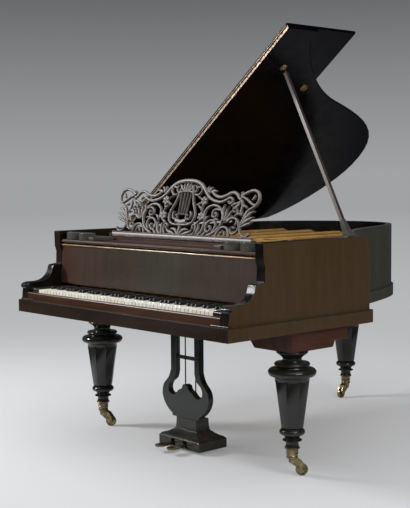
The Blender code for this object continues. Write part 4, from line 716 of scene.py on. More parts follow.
def block(bm, low, high):
    """A square block between two corners."""
    corners = [bm.verts.new((x, y, z)) for z in (low[2], high[2])
               for x, y in ((low[0], low[1]), (high[0], low[1]), (high[0], high[1]),
                            (low[0], high[1]))]
    for loop in ((3, 2, 1, 0), (4, 5, 6, 7), (0, 1, 5, 4), (1, 2, 6, 5), (2, 3, 7, 6),
                 (3, 0, 4, 7)):
        bm.faces.new([corners[k] for k in loop])
    return corners


# %% [markdown]
# ## The fretwork desk
# The desk is one thin board, sawn out with a fine blade and then carved so that every ribbon has
# a low crown. A boolean cut would leave flat, dead surfaces, so each ribbon is swept instead: a
# flat-backed, crowned section runs along a curve, even in width for scrolls and tapering at both
# ends for leaves. Both halves come from one drawing, seen square to the board, with heights
# counted from the desk's hinge.

# %% Strokes of the desk
DESK_HINGE = Vector((0.0, -0.594, 0.9423))
DESK_LEAN = math.radians(16.7)
DESK_HALF_WIDTH = 0.462
SECTION = ((-1.0, -0.0050), (-1.0, 0.0025), (-0.55, 0.0048), (0.0, 0.0058), (0.55, 0.0048),
           (1.0, 0.0025), (1.0, -0.0050))


def on_desk(x, up, out=0.0):
    """A point on the leaning desk: across, up it from the hinge, and out towards the player."""
    lean_up = Vector((0.0, math.sin(DESK_LEAN), math.cos(DESK_LEAN)))
    lean_out = Vector((0.0, -math.cos(DESK_LEAN), math.sin(DESK_LEAN)))
    return DESK_HINGE + Vector((x, 0.0, 0.0)) + lean_up * up + lean_out * out


def even(first, last=None):
    """A ribbon's width at each share of its length."""
    end = first if last is None else last
    return lambda t: first + (end - first) * t


def leaf(width):
    """A leaf's width: full in the middle, fine at both ends."""
    return lambda t: width * (0.22 + 0.88 * math.sin(math.pi * min(1.0, 0.12 + 0.86 * t)) ** 0.9)


def stroke(bm, points, width_at, lift=0.0):
    """Sweep the crowned section along a curve drawn on the desk."""
    path = smooth_path(points)
    last = len(path) - 1
    rings = []
    for k, spot in enumerate(path):
        along = (path[min(k + 1, last)] - path[max(k - 1, 0)]).normalized()
        side = Vector((-along.y, along.x)) * width_at(k / last) / 2
        ring = []
        for share, out in SECTION:
            edge = spot + side * share
            ring.append(bm.verts.new(on_desk(edge.x, edge.y, out + (lift if out > 0 else 0))))
        rings.append(ring)
    faces = []
    count = len(SECTION)
    for one, two in zip(rings, rings[1:]):
        for k in range(count):
            n = (k + 1) % count
            faces.append(bm.faces.new((one[k], one[n], two[n], two[k])))
    faces.append(bm.faces.new(rings[0]))
    faces.append(bm.faces.new(rings[-1]))
    bmesh.ops.recalc_face_normals(bm, faces=faces)


def button(bm, x, up, radius, lift=0.0):
    """A small domed boss, as in a flower's heart or the eye of a scroll."""
    profile = [(radius, -0.005), (radius, 0.0028 + lift), (radius * 0.8, 0.0052 + lift),
               (radius * 0.45, 0.0066 + lift), (0.0, 0.0072 + lift)]
    out = on_desk(0, 0, 1) - on_desk(0, 0, 0)
    spin(bm, profile, on_desk(x, up), 12, out)


# %% [markdown]
# The strokes below are the right half. S marks an even ribbon with its first and last width, L a
# leaf with its full width.

# %% Drawing of the desk's right half
ARCH = [
    ("S", 0.016, 0.009, [(0, .262), (.045, .259), (.085, .246), (.112, .226), (.134, .203),
                         (.160, .184), (.195, .172), (.232, .168), (.262, .177), (.284, .187),
                         (.301, .181), (.303, .168), (.292, .161), (.281, .166)]),
    ("S", 0.0125, 0.0125, [(.168, .212), (.185, .199), (.207, .191), (.232, .190), (.258, .197),
                           (.285, .208), (.308, .209), (.326, .199), (.338, .187),
                           (.352, .181)]),
]
EAR = [
    ("S", 0.0125, 0.008, [(.350, .196), (.378, .209), (.412, .219), (.438, .215), (.454, .198),
                          (.456, .176), (.446, .158), (.428, .145), (.406, .134), (.393, .117),
                          (.384, .094), (.377, .070), (.379, .045), (.396, .026), (.420, .022),
                          (.438, .033)]),
    ("S", 0.010, 0.010, [(.352, .192), (.378, .185), (.402, .172), (.424, .160), (.446, .156)]),
    ("L", 0.012, 0, [(.434, .200), (.427, .188), (.418, .178)]),
    ("L", 0.012, 0, [(.386, .082), (.402, .104), (.422, .122), (.446, .131)]),
    ("L", 0.012, 0, [(.384, .072), (.406, .090), (.428, .100), (.448, .106)]),
    ("L", 0.009, 0, [(.388, .095), (.400, .120), (.412, .132)]),
    ("L", 0.011, 0, [(.382, .062), (.405, .072), (.430, .080), (.442, .086)]),
]
WING = [
    ("S", 0.011, 0.007, [(.292, .086), (.312, .098), (.336, .099), (.357, .088), (.368, .066),
                         (.362, .044), (.344, .032), (.326, .037), (.321, .052), (.331, .061),
                         (.342, .056)]),
    ("L", 0.010, 0, [(.352, .094), (.350, .076), (.341, .068)]),
    ("S", 0.010, 0.010, [(.238, .020), (.250, .043), (.272, .058), (.297, .056), (.313, .040),
                         (.322, .022)]),
    ("L", 0.008, 0, [(.268, .022), (.274, .038), (.285, .046)]),
    ("L", 0.008, 0, [(.295, .020), (.290, .034), (.280, .044)]),
    ("S", 0.011, 0.011, [(.146, .092), (.145, .117), (.156, .138), (.181, .151), (.211, .151),
                         (.238, .139), (.256, .117), (.262, .090), (.254, .064), (.236, .042),
                         (.212, .028), (.190, .020)]),
    ("S", 0.009, 0.009, [(.238, .132), (.215, .136), (.197, .125), (.196, .107), (.212, .100),
                         (.224, .109), (.217, .118)]),
    ("S", 0.010, 0.010, [(.214, .036), (.226, .056), (.221, .079), (.199, .087), (.178, .079),
                         (.165, .060), (.170, .041), (.188, .036), (.199, .048), (.192, .060)]),
    ("L", 0.010, 0, [(.205, .086), (.223, .092), (.240, .086)]),
    ("L", 0.010, 0, [(.150, .078), (.160, .094), (.178, .104)]),
    ("L", 0.011, 0, [(.276, .082), (.264, .108), (.257, .132), (.262, .158)]),
    ("L", 0.010, 0, [(.280, .082), (.279, .108), (.281, .132), (.290, .150)]),
    ("L", 0.010, 0, [(.284, .084), (.297, .106), (.307, .124), (.322, .136)]),
    ("L", 0.008, 0, [(.288, .080), (.306, .092), (.318, .112)]),
    ("L", 0.012, 0, [(.322, .136), (.336, .150), (.352, .166), (.352, .186)]),
    ("L", 0.010, 0, [(.300, .150), (.318, .160), (.340, .166), (.356, .180)]),
    ("S", 0.008, 0.008, [(.322, .150), (.316, .136), (.327, .126), (.339, .131), (.337, .142)]),
    ("L", 0.012, 0, [(.358, .178), (.368, .155), (.366, .132), (.374, .112)]),
    ("L", 0.009, 0, [(.368, .150), (.386, .152), (.396, .142)]),
    ("L", 0.009, 0, [(.345, .112), (.360, .120), (.372, .108)]),
    ("L", 0.009, 0, [(.330, .104), (.344, .118), (.350, .136)]),
]
STEMS = [
    ("L", 0.009, 0, [(.126, .150), (.120, .136), (.127, .122)]),
    ("L", 0.009, 0, [(.100, .150), (.112, .140), (.126, .140)]),
    ("L", 0.012, 0, [(.150, .205), (.152, .222), (.166, .232)]),
    ("L", 0.011, 0, [(.158, .208), (.176, .216), (.196, .214)]),
    ("L", 0.009, 0, [(.148, .208), (.138, .222), (.140, .236)]),
    ("L", 0.009, 0, [(.084, .150), (.100, .158), (.112, .165)]),
]
LYRE_ARM = [
    ("S", 0.010, 0.010, [(.030, .238), (.040, .222), (.047, .203), (.053, .178), (.064, .152),
                         (.078, .128), (.085, .102), (.078, .079), (.058, .066), (.030, .062),
                         (0, .061)]),
    ("S", 0.009, 0.009, [(.052, .122), (.060, .106), (.054, .091), (.040, .086), (.029, .094),
                         (.033, .105)]),
    ("L", 0.010, 0, [(.006, .216), (.018, .232), (.020, .250)]),
    ("L", 0.010, 0, [(.016, .216), (.034, .228), (.048, .244)]),
    ("S", 0.008, 0.008, [(.050, .206), (.062, .214), (.066, .228), (.058, .238)]),
    ("L", 0.009, 0, [(.062, .228), (.080, .232), (.092, .238)]),
    ("S", 0.009, 0.009, [(.060, .200), (.076, .196), (.090, .202), (.100, .216),
                         (.098, .232)]),
    ("S", 0.007, 0.007, [(.085, .190), (.102, .180)]),
    ("S", 0.0036, 0.0036, [(.0080, .106), (.0105, .212)]),
    ("S", 0.0036, 0.0036, [(.0240, .106), (.0315, .212)]),
]
FOOT = [
    ("L", 0.012, 0, [(.006, .014), (.020, .034), (.040, .042), (.056, .040)]),
    ("L", 0.012, 0, [(.020, .012), (.044, .024), (.070, .030), (.090, .046)]),
    ("S", 0.009, 0.009, [(.090, .014), (.104, .034), (.104, .054), (.092, .064), (.082, .056),
                         (.088, .046)]),
    ("L", 0.010, 0, [(.100, .062), (.112, .076), (.126, .082)]),
    ("L", 0.011, 0, [(.112, .014), (.122, .044), (.120, .068)]),
    ("L", 0.012, 0, [(.120, .012), (.142, .030), (.152, .052), (.150, .074)]),
    ("L", 0.010, 0, [(.150, .014), (.168, .028), (.178, .036)]),
]
MIDDLE = [
    ("S", 0.020, 0.020, [(-.034, .080), (0, .074), (.034, .080)]),
    ("S", 0.006, 0.006, [(-.026, .108), (.026, .108)]),
    ("S", 0.009, 0.009, [(-.050, .206), (-.025, .212), (0, .213), (.025, .212), (.050, .206)]),
    ("L", 0.012, 0, [(0, .214), (0, .252)]),
    ("L", 0.014, 0, [(0, .012), (0, .060)]),
]
FLOWERS = ((.126, .170, .020), (.126, .102, .020), (.355, .204, .010))
SCROLL_EYES = ((.283, .167, .0075), (.437, .033, .0075), (.342, .057, .007), (.217, .117, .0075),
               (.193, .058, .0075), (.033, .104, .007), (.088, .047, .007), (.337, .141, .006))

# %% [markdown]
# Where ribbons cross, the one that was carved last stands a little higher. A small lift for each
# stroke in turn gives that, and keeps two crowns from lying in one plane.

# %% Sweep the desk


def flower(bm, x, up, radius):
    """Six petals round a domed heart."""
    for k in range(6):
        a = 2 * math.pi * (k + 0.5) / 6
        heart = (x + 0.25 * radius * math.cos(a), up + 0.25 * radius * math.sin(a))
        tip = (x + radius * math.cos(a), up + radius * math.sin(a))
        middle = ((heart[0] + tip[0]) / 2, (heart[1] + tip[1]) / 2)
        stroke(bm, [heart, middle, tip], lambda t: radius * (0.35 + 0.5 * math.sin(math.pi * t)),
               0.0004)
    button(bm, x, up, radius * 0.36, 0.0014)


def make_desk():
    """The whole fretwork desk as one carved board."""
    bm = bmesh.new()
    number = 0
    for kind, first, last, points in ARCH + EAR + WING + STEMS + LYRE_ARM + FOOT:
        for side in (1, -1):
            width_at = even(first, last) if kind == "S" else leaf(first)
            stroke(bm, [(side * x, up) for x, up in points], width_at, 0.0003 * (number % 4))
        number += 1
    for kind, first, last, points in MIDDLE:
        stroke(bm, points, even(first, last) if kind == "S" else leaf(first), 0.0012)
    for side in (1, -1):
        for x, up, radius in FLOWERS:
            flower(bm, side * x, up, radius)
        for x, up, radius in SCROLL_EYES:
            button(bm, side * x, up, radius, 0.001)
    edge = DESK_HALF_WIDTH
    stroke(bm, [(-edge, .0055), (0, .0055), (edge, .0055)], even(0.023), 0.0)
    stroke(bm, [(-edge, .0155), (0, .0155), (edge, .0155)], even(0.006), 0.0022)
    return mesh_piece("fretwork_desk", bm, FRETWORK, 50)


for_node(make_desk(), "music_desk")

# %% [markdown]
# ## The keyboard
# Each white key is a limewood stick with a thin ivory plate on its top and front. The plates of
# neighbours leave a slit that reads as a dark line. The solid keys already have the right plan,
# so their copies only get eased edges and a second finish on the faces that carry ivory. The
# sharps taper to a narrower top and slope at the front, which a plain copy wouldn't show, so
# their caps are made anew.

# %% Keys
KEY_TOP = 0.699
STICK_TOP = 0.690
SHARP_TOP = 0.7105
PLATE_THICKNESS = 0.003
CAP_REAR = -0.775
STICK_REAR = -0.5926
WHITE_KEYS = 50
FIRST_NOTE = "CDEFGAB".index("A")
SHARP_AFTER = "CDFGA"


def white_piece(node):
    """White keys with ivory in front of the fallboard, and bare wood behind and beside."""
    bm = clean_copy(node)
    bmesh.ops.bisect_plane(bm, geom=bm.verts[:] + bm.edges[:] + bm.faces[:],
                           plane_co=(0, CAP_REAR, 0), plane_no=(0, 1, 0))
    piece = rounded_edges(mesh_piece("fine_" + node, bm, KEY_WOOD), 0.0006, 2)
    piece.data.materials.append(IVORY)
    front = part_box(node)[0][1]
    for face in piece.data.polygons:
        on_top = face.center.z > KEY_TOP - PLATE_THICKNESS and face.center.y < CAP_REAR
        on_front = face.center.y < front + 0.001
        if on_top or on_front:
            face.material_index = 1
    return for_node(piece, node)


def sharp(bm, x, front):
    """One ebony cap, narrower on top and sloped in front, on its stick."""
    corners = block(bm, (x - 0.0055, front, STICK_TOP), (x + 0.0055, CAP_REAR, SHARP_TOP))
    for k in (4, 5, 6, 7):
        corners[k].co.x = x + (corners[k].co.x - x) * 0.80
    for k in (4, 5):
        corners[k].co.y += 0.0065
    block(bm, (x - 0.0050, front + 0.003, 0.6727), (x + 0.0050, STICK_REAR, STICK_TOP + 0.001))


def sharp_piece(name, centres, front):
    """Some sharps as one mesh with rounded edges."""
    bm = bmesh.new()
    for x in centres:
        sharp(bm, x, front)
    piece = rounded_edges(mesh_piece(name, bm, EBONY), 0.0011, 3)
    piece.data.materials.append(KEY_WOOD)
    for face in piece.data.polygons:
        if face.center.z < STICK_TOP + 0.0015 and face.center.y > CAP_REAR:
            face.material_index = 1
    return piece


for key in ("white_keys", "white_key_c", "white_key_d", "white_key_e", "white_key_f"):
    white_piece(key)
free_places = []
for key in ("black_key_c_sharp", "black_key_d_sharp"):
    low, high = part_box(key)
    free_places.append((low[0] + high[0]) / 2)
    for_node(sharp_piece("cap_" + key, free_places[-1:], low[1]), key)
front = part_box("black_keys")[0][1]
places = []
for k in range(WHITE_KEYS - 1):
    x = (k + 1 - WHITE_KEYS / 2) * KEY_PITCH
    is_free = any(abs(x - free) < 0.005 for free in free_places)
    if "CDEFGAB"[(k + FIRST_NOTE) % 7] in SHARP_AFTER and not is_free:
        places.append(x)
for_node(sharp_piece("ebony_caps", places, front), "black_keys")
print(len(places) + len(free_places), "sharps")

# %% [markdown]
# ## Turned legs and casters
# Each leg is turned on a lathe at its two ends and planed to eight flats between them. The solid
# has few sides, which would show as facets on a polished ring, so the legs are spun again with
# sixty-four sides, the sockets and wheels with forty-eight, all with rounder beads. The flats keep
# crisp, slightly eased arrises, because those long highlights are what makes the leg look eight-sided.

# %% Legs
LEG_TOP = 0.5127
SHAFT_TOP = 0.3925
SHAFT_BOTTOM = 0.202
SHAFT_TOP_FLATS = 0.136
SHAFT_BOTTOM_FLATS = 0.0875
LEG_FOOT = 0.1213
LEG_PLACES = {"bass": (-0.631, -0.535), "treble": (0.631, -0.535), "rear": (-0.258, 0.840)}
CAP_PROFILE = [(0, LEG_TOP), (.0640, LEG_TOP), *round_over(.0605, .5078, .0042, 75, -75, 6),
               (.0590, .5010), (.0520, .4960), (.0450, .4912), (.0408, .4868), (.0390, .4820),
               (.0390, .4760), (.0410, .4705), (.0470, .4678), (.0560, .4664), (.0690, .4662),
               *round_over(.0680, .4590, .0050, 70, -70, 6), (.0640, .4500), (.0660, .4460),
               (.0760, .4438), *round_over(.0820, .4270, .0160, 80, -80, 12), (.0780, .4085),
               (.0745, .4068), (.0715, .4040), (.0705, .4000), (.0705, SHAFT_TOP - .0008),
               (.0550, SHAFT_TOP - .0008), (.0550, SHAFT_TOP - .012), (0, SHAFT_TOP - .012)]
FOOT_PROFILE = [(0, .210), (.034, .210), (.034, .2010), (.0390, .2002), (.0430, .1982),
                *round_over(.0405, .1835, .0120, 62, -62, 10), (.0400, .1706), (.0352, .1675),
                (.0315, .1635), (.0298, .1590), (.0292, .1552), (.0330, .1532),
                *round_over(.0370, .1495, .0030, 75, -75, 4), (.0330, .1460), (.0285, .1440),
                (.0262, .1400), (.0258, .1350), (.0270, .1280), (.0290, LEG_FOOT),
                (0, LEG_FOOT)]


def leg_piece(where):
    """One leg: turned cap and foot with an eight-sided taper between them."""
    x, y = LEG_PLACES[where]
    bm = bmesh.new()
    to_corner = 0.5 / math.cos(math.pi / 8)
    shaft = [(0, SHAFT_BOTTOM), (SHAFT_BOTTOM_FLATS * to_corner, SHAFT_BOTTOM),
             (SHAFT_TOP_FLATS * to_corner, SHAFT_TOP), (0, SHAFT_TOP)]
    spin(bm, shaft, (x, y, 0), 8)
    flats = rounded_edges(mesh_piece("flats_" + where, bm, EBONISED), 0.0012, 3)
    bm = bmesh.new()
    bm.from_mesh(flats.data)
    bpy.data.objects.remove(flats)
    spin(bm, CAP_PROFILE, (x, y, 0))
    spin(bm, FOOT_PROFILE, (x, y, 0))
    return mesh_piece("turned_leg_" + where, bm, EBONISED, 30)


SOCKET_PROFILE = [(0, .1210), *round_over(.0290, .1180, .0028, 90, -70, 5), (.0270, .1130),
                  (.0252, .1115), (.0246, .1050), (.0236, .0990), (.0252, .0972), (.0252, .0945),
                  (.0228, .0925), (.0222, .0860), (.0235, .0838), (.0240, .0790), (.0235, .0757),
                  (0, .0757)]
WHEEL_RADIUS = 0.025
WHEEL_PROFILE = [(.0046, .0086), (.0085, .0086), (.0095, .0060), (.0165, .0052), (.0180, .0078),
                 (.0222, .0084), *round_over(.0222, .0056, .0028, 90, 0, 4),
                 *round_over(.0222, -.0056, .0028, 0, -90, 4), (.0180, -.0078),
                 (.0165, -.0052), (.0095, -.0060), (.0085, -.0086), (.0046, -.0086),
                 (.0046, .0086)]
for where in LEGS:
    x, y = LEG_PLACES[where]
    for_node(leg_piece(where), "leg_" + where)
    bm = bmesh.new()
    spin(bm, SOCKET_PROFILE, (x, y, 0), 48)
    for_node(mesh_piece("brass_socket_" + where, bm, BRASS, 30), "caster_socket_" + where)
    low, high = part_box("caster_wheel_" + where)
    hub = Vector([(a + b) / 2 for a, b in zip(low, high)])
    axle = Vector((hub.x - x, hub.y - y, 0)).cross(Vector((0, 0, 1)))
    bm = bmesh.new()
    spin(bm, WHEEL_PROFILE, (hub.x, hub.y, WHEEL_RADIUS), 48, axle.normalized())
    for_node(mesh_piece("brass_wheel_" + where, bm, BRASS, 30), "caster_wheel_" + where)

# %% [markdown]
# ## Pedal lyre
# The lyre is sawn from a thick board and its edges are rounded over, so it keeps the solid's
# outline with a broad soft round. Two blackened rods run up between its pillars.

# %% Lyre and rods
PILLAR_INNER = 0.0605
PILLAR_OUTER = 0.0905
LYRE_SPREAD = 0.07
LYRE_FORWARD = 0.005
LYRE_BACKWARD = 0.003
BASE_STEP = 0.0620
BASE_NECK = 0.0867
BASE_WAIST = 0.72


def lyre_piece():
    """The lyre board, its outer edge spread a little and its faces set further apart."""
    bm = clean_copy("lyre")
    low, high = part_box("lyre")
    middle_y = (low[1] + high[1]) / 2
    for vert in bm.verts:
        share = (abs(vert.co.x) - PILLAR_INNER) / (PILLAR_OUTER - PILLAR_INNER)
        vert.co.x *= 1 + LYRE_SPREAD * min(1.0, max(0.0, share))
        vert.co.y += LYRE_BACKWARD if vert.co.y > middle_y else -LYRE_FORWARD
    piece = mesh_piece("fine_lyre", bm, EBONISED)
    return for_node(rounded_edges(piece, 0.004, 4), "lyre")


lyre_piece()


def lyre_base_piece():
    """The lyre's foot, its moulding drawn in to a narrow neck."""
    bm = clean_copy("lyre_base")
    low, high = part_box("lyre_base")
    middle_y = (low[1] + high[1]) / 2
    for vert in bm.verts:
        share = min(1.0, max(0.0, (vert.co.z - BASE_STEP) / (BASE_NECK - BASE_STEP)))
        scale = 1 - (1 - BASE_WAIST) * share
        vert.co.x *= scale
        vert.co.y = middle_y + (vert.co.y - middle_y) * scale
    piece = mesh_piece("fine_lyre_base", bm, FOOT_BLACK)
    return for_node(rounded_edges(piece, 0.0012, 3), "lyre_base")


lyre_base_piece()
for where in ("soft", "damper"):
    low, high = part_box("pedal_rod_" + where)
    x = (low[0] + high[0]) / 2
    y = (low[1] + high[1]) / 2
    line = [(x, y, low[2]), (x, y, high[2])]
    rod = grown("blackened_rod_" + where, WIRES, line, chain(line), Radius=0.0029, Sides=16,
                Finish=BROWNED_BRASS)
    for_node(rod, "pedal_rod_" + where)

# %% [markdown]
# ## Hinges, prop and lid fittings
# The folded front flap hangs on a long rolled hinge. Its leaf covers the edge of the lid, held by
# a row of countersunk screws, and its barrel is a row of knuckles on one pin. The prop is a
# square stick in a brass cap, and stands in a brass cup under the lid. A second cup holds it
# when the lid is opened less far.

# %% Lid fittings
LID_AXIS = Vector((-0.6975, 0.0, 0.9608))
LID_ANGLE = math.radians(38.5)
LID_UNDER = 0.0017
LID_TOP = 0.0177
HINGE_FRONT = -0.306
HINGE_START = 0.018
HINGE_END = 1.4015
KNUCKLE = 0.030
SCREW_PITCH = 0.034


def on_lid(along, y, above):
    """A point on the open lid: along it from its hinge, in depth, and above its underside."""
    run = Vector((math.cos(LID_ANGLE), 0.0, math.sin(LID_ANGLE)))
    rise = Vector((-math.sin(LID_ANGLE), 0.0, math.cos(LID_ANGLE)))
    spot = LID_AXIS + run * along + rise * above
    spot.y = y
    return spot


def turned_to(direction):
    """The turn that lays a stud's axis along a direction."""
    return tuple(Vector((0, 0, 1)).rotation_difference(Vector(direction)).to_euler())


ALONG_LID = on_lid(1, 0, 0) - on_lid(0, 0, 0)
UNDER_LID = on_lid(0, 0, -1) - on_lid(0, 0, 0)
knuckles = []
along = HINGE_START
while along + KNUCKLE < HINGE_END:
    knuckles.append(on_lid(along, HINGE_FRONT, LID_TOP))
    along += KNUCKLE
barrel = grown("hinge_knuckles", STUDS, knuckles, Foot=0.0028, Head=0.0028,
               Length=KNUCKLE - 0.0012, Turn=turned_to(ALONG_LID), Sides=12, Finish=HINGE_BRASS)
bm = bmesh.new()
bm.from_mesh(barrel.data)
bpy.data.objects.remove(barrel)
leaf_low, leaf_high = LID_UNDER + 0.0008, LID_TOP
corners = [bm.verts.new(on_lid(s, y, h)) for s in (HINGE_START, HINGE_END)
           for y, h in ((HINGE_FRONT + 0.0012, leaf_low), (HINGE_FRONT + 0.0029, leaf_low),
                        (HINGE_FRONT + 0.0029, leaf_high), (HINGE_FRONT + 0.0012, leaf_high))]
loops = ((0, 1, 2, 3), (4, 7, 6, 5), (0, 4, 5, 1), (1, 5, 6, 2), (2, 6, 7, 3), (3, 7, 4, 0))
leaf_faces = [bm.faces.new([corners[k] for k in loop]) for loop in loops]
bmesh.ops.recalc_face_normals(bm, faces=leaf_faces)
for_node(mesh_piece("long_hinge", bm, HINGE_BRASS), "flap_hinge")
count = int((HINGE_END - HINGE_START) / SCREW_PITCH)
screws = [on_lid(HINGE_START + SCREW_PITCH * (k + 0.5), HINGE_FRONT + 0.0013, 0.0095)
          for k in range(count)]
heads = grown("hinge_screws", STUDS, screws, Foot=0.0042, Head=0.0030, Length=0.0007,
              Turn=turned_to((0, -1, 0)), Sides=12, Finish=BROWNED_BRASS)
on_body(heads, "lid", "brass")


def lid_cup(name, along, depth, radius, height):
    """A turned brass cup on the underside of the lid, for the prop's tip."""
    bm = bmesh.new()
    profile = [(0, 0), (radius, 0), (radius, height * 0.35), (radius * 0.80, height * 0.76),
               (radius * 0.60, height), (radius * 0.45, height), (radius * 0.38, height * 0.35),
               (0, height * 0.35)]
    spin(bm, profile, on_lid(along, depth - 0.960, LID_UNDER), 32, UNDER_LID)
    on_body(mesh_piece(name, bm, BRIGHT_BRASS, 30), "lid", "brass")


lid_cup("prop_cup_high", 1.173, 0.811, 0.018, 0.0038)
lid_cup("prop_cup_low", 1.058, 1.040, 0.020, 0.0110)


def prop_piece():
    """The long prop, its stick in polished wood and its cap in brass."""
    piece = rounded_edges(mesh_piece("fine_prop", clean_copy("prop"), PROP_WOOD), 0.0014, 3)
    piece.data.materials.append(BRASS)
    low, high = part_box("prop")
    tip_height = high[2]
    piece.data.materials.append(PROP_PAINTED_HIGHLIGHT)
    # This points towards the left lamp: faces turned to it take the pale finish, a painted highlight.
    rubbed = Vector((-0.72, -0.66, 0.2))
    for face in piece.data.polygons:
        if face.center.z > tip_height - 0.024:
            face.material_index = 1
        elif face.normal.dot(rubbed) > 0.60:
            face.material_index = 2
    return for_node(piece, "prop")


prop_piece()


def prop_ferrule():
    """A tapered square ferrule that holds the prop's foot."""
    foot = Vector((0.624, -0.175, 0.947))
    low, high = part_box("prop")
    tip = Vector((low[0] + 0.009, high[1] - 0.009, high[2] - 0.004))
    along = (tip - foot).normalized()
    turn = Vector((0, 0, 1)).rotation_difference(along).to_matrix()
    bm = bmesh.new()
    corners = block(bm, (-0.0165, -0.0165, 0.004), (0.0165, 0.0165, 0.088))
    for k in (4, 5, 6, 7):
        corners[k].co.x *= 0.58
        corners[k].co.y *= 0.58
    for vert in bm.verts:
        vert.co = foot + turn @ vert.co
    ferrule = mesh_piece("prop_ferrule", bm, WORN_BLACK)
    on_body(rounded_edges(ferrule, 0.0015, 3), "prop", "ebonised")


prop_ferrule()

# %% [markdown]
# ## Tray, candle boards and mouldings
# The music tray slides in grooves between the sides. The top of the fallboard carries a thin
# astragal bead, a bright line above the keys, and the key slip two more, the lower one a bright line
# below the keys; the gold-brown of both bright lines is a painted highlight. The candle boards are
# thick blocks whose fronts swell in two rounded lobes.

# %% Mouldings
INNER_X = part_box("fallboard")[1][0] - 0.0008


CANDLE_ROOM = 0.018
CANDLE_WIDTH = 0.190
LIP_DEPTH = 0.048
LOBE_DEPTH = 0.026
LOBE_STEPS = 32
LEDGE_SHARE = 0.45


def upright(bm, outline, bottom, top):
    """A block with the given plan between two heights."""
    face = bm.faces.new([bm.verts.new((x, y, bottom)) for x, y in outline])
    raised = bmesh.ops.extrude_face_region(bm, geom=[face])
    for item in raised["geom"]:
        if isinstance(item, bmesh.types.BMVert):
            item.co.z = top
    bmesh.ops.recalc_face_normals(bm, faces=bm.faces)


def candle_board(node):
    """A thick board whose front swells in two rounded lobes, with a thin ledge beside it."""
    low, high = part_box(node)
    side = 1 if low[0] > 0 else -1
    inner = min(abs(low[0]), abs(high[0]))
    outer = max(abs(low[0]), abs(high[0])) - CANDLE_ROOM
    outline = []
    for k in range(LOBE_STEPS + 1):
        t = k / LOBE_STEPS
        lobe = abs(math.sin(2 * math.pi * t)) ** 0.7
        outline.append((side * (outer - CANDLE_WIDTH * t), low[1] + LOBE_DEPTH * (1 - lobe)))
    nose = outer - CANDLE_WIDTH
    back = low[1] + LIP_DEPTH
    outline += [(side * nose, back), (side * outer, back)]
    bm = bmesh.new()
    upright(bm, outline, low[2], high[2])
    ledge = [(side * outer, back - 0.002), (side * (nose + 0.002), back - 0.002),
             (side * (nose + 0.002), low[1] + 0.006), (side * inner, low[1] + 0.006),
             (side * inner, high[1]), (side * outer, high[1])]
    upright(bm, ledge, low[2], low[2] + LEDGE_SHARE * (high[2] - low[2]))
    for_node(rounded_edges(mesh_piece("fine_" + node, bm, WORN_BLACK), 0.0025, 4), node)


candle_board("candle_board_bass")
candle_board("candle_board_treble")


def tray_piece():
    """The music tray, rosewood in front and ebonised on top."""
    piece = rounded_edges(mesh_piece("fine_music_tray", clean_copy("music_tray"),
                                     ROSEWOOD_ALONG_X), 0.0015, 3)
    piece.data.materials.append(TRAY_BLACK)
    for face in piece.data.polygons:
        if face.normal.z > 0.1:
            face.material_index = 1
    return for_node(piece, "music_tray")


tray_piece()


def bead(name, points, radius, finish, body, slot):
    """A thin half-round moulding along a line."""
    piece = grown(name, WIRES, points, chain(points), Radius=radius, Sides=12, Finish=finish)
    return on_body(piece, body, slot)


fall_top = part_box("fallboard")[1][2]
# The fallboard bead and the slip's lower bead are gold-brown as a painted highlight line.
bead("fallboard_bead", [(-INNER_X, -0.7505, fall_top - 0.0046), (INNER_X, -0.7505,
                        fall_top - 0.0046)], 0.0036, BEAD_PAINTED_HIGHLIGHT, "fallboard", "rosewood")
slip_low, slip_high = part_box("key_slip")
bead("slip_bead", [(-INNER_X, slip_low[1] + 0.0016, slip_high[2] - 0.0072),
                   (INNER_X, slip_low[1] + 0.0016, slip_high[2] - 0.0072)], 0.0014,
     ROSEWOOD_ALONG_X, "case", "rosewood")
bead("slip_foot_bead", [(-INNER_X, slip_low[1] + 0.0010, slip_low[2] + 0.0030),
                        (INNER_X, slip_low[1] + 0.0010, slip_low[2] + 0.0030)], 0.0028,
     BEAD_PAINTED_HIGHLIGHT, "case", "rosewood")
for side, name in ((-1, "bass"), (1, "treble")):
    for number, (depth, height, radius) in enumerate(((-0.9485, 0.0078, 0.0078),
                                                      (-0.9465, 0.0190, 0.0050))):
        ends = sorted((side * 0.6000, side * 0.6965))
        roll = [(x, depth, slip_low[2] + height) for x in ends]
        bead(f"arm_roll_{name}_{number}", roll, radius, EBONISED, "case", "ebonised")
plinth_low, plinth_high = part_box("plinth_band")
step = plinth_high[2] - 0.0030
plinth_line = [(plinth_low[0] + 0.0015, -0.140, step), (plinth_low[0] + 0.0015, -0.9585, step),
               (plinth_high[0] - 0.0015, -0.9585, step),
               (plinth_high[0] - 0.0015, -0.140, step)]
# The plinth bead takes the darker copy of the case veneer, with painted shade.
bead("plinth_bead", plinth_line, 0.0026, DARK_VENEER_PAINTED_SHADE, "case", "case_veneer")
# Thin black lines on the plinth's corner blocks are painted shade standing for grooves.
CORNER_LINES = (0.020, 0.060)
lines = []
for side in (-1, 1):
    for inset in CORNER_LINES:
        x = side * (plinth_high[0] - inset)
        lines += [(x, -0.9592, plinth_low[2] + 0.002), (x, -0.9592, step - 0.003)]
groove_shade_lines = grown("corner_block_painted_groove_shade", WIRES, lines, [(k, k + 1) for k in range(0, len(lines), 2)],
              Radius=0.0011, Sides=6, Finish=LID_BLACK)
on_body(groove_shade_lines, "case", "ebonised")

# %% [markdown]
# Each arm ends in a small round volute, turned as a button and glued to the nose.

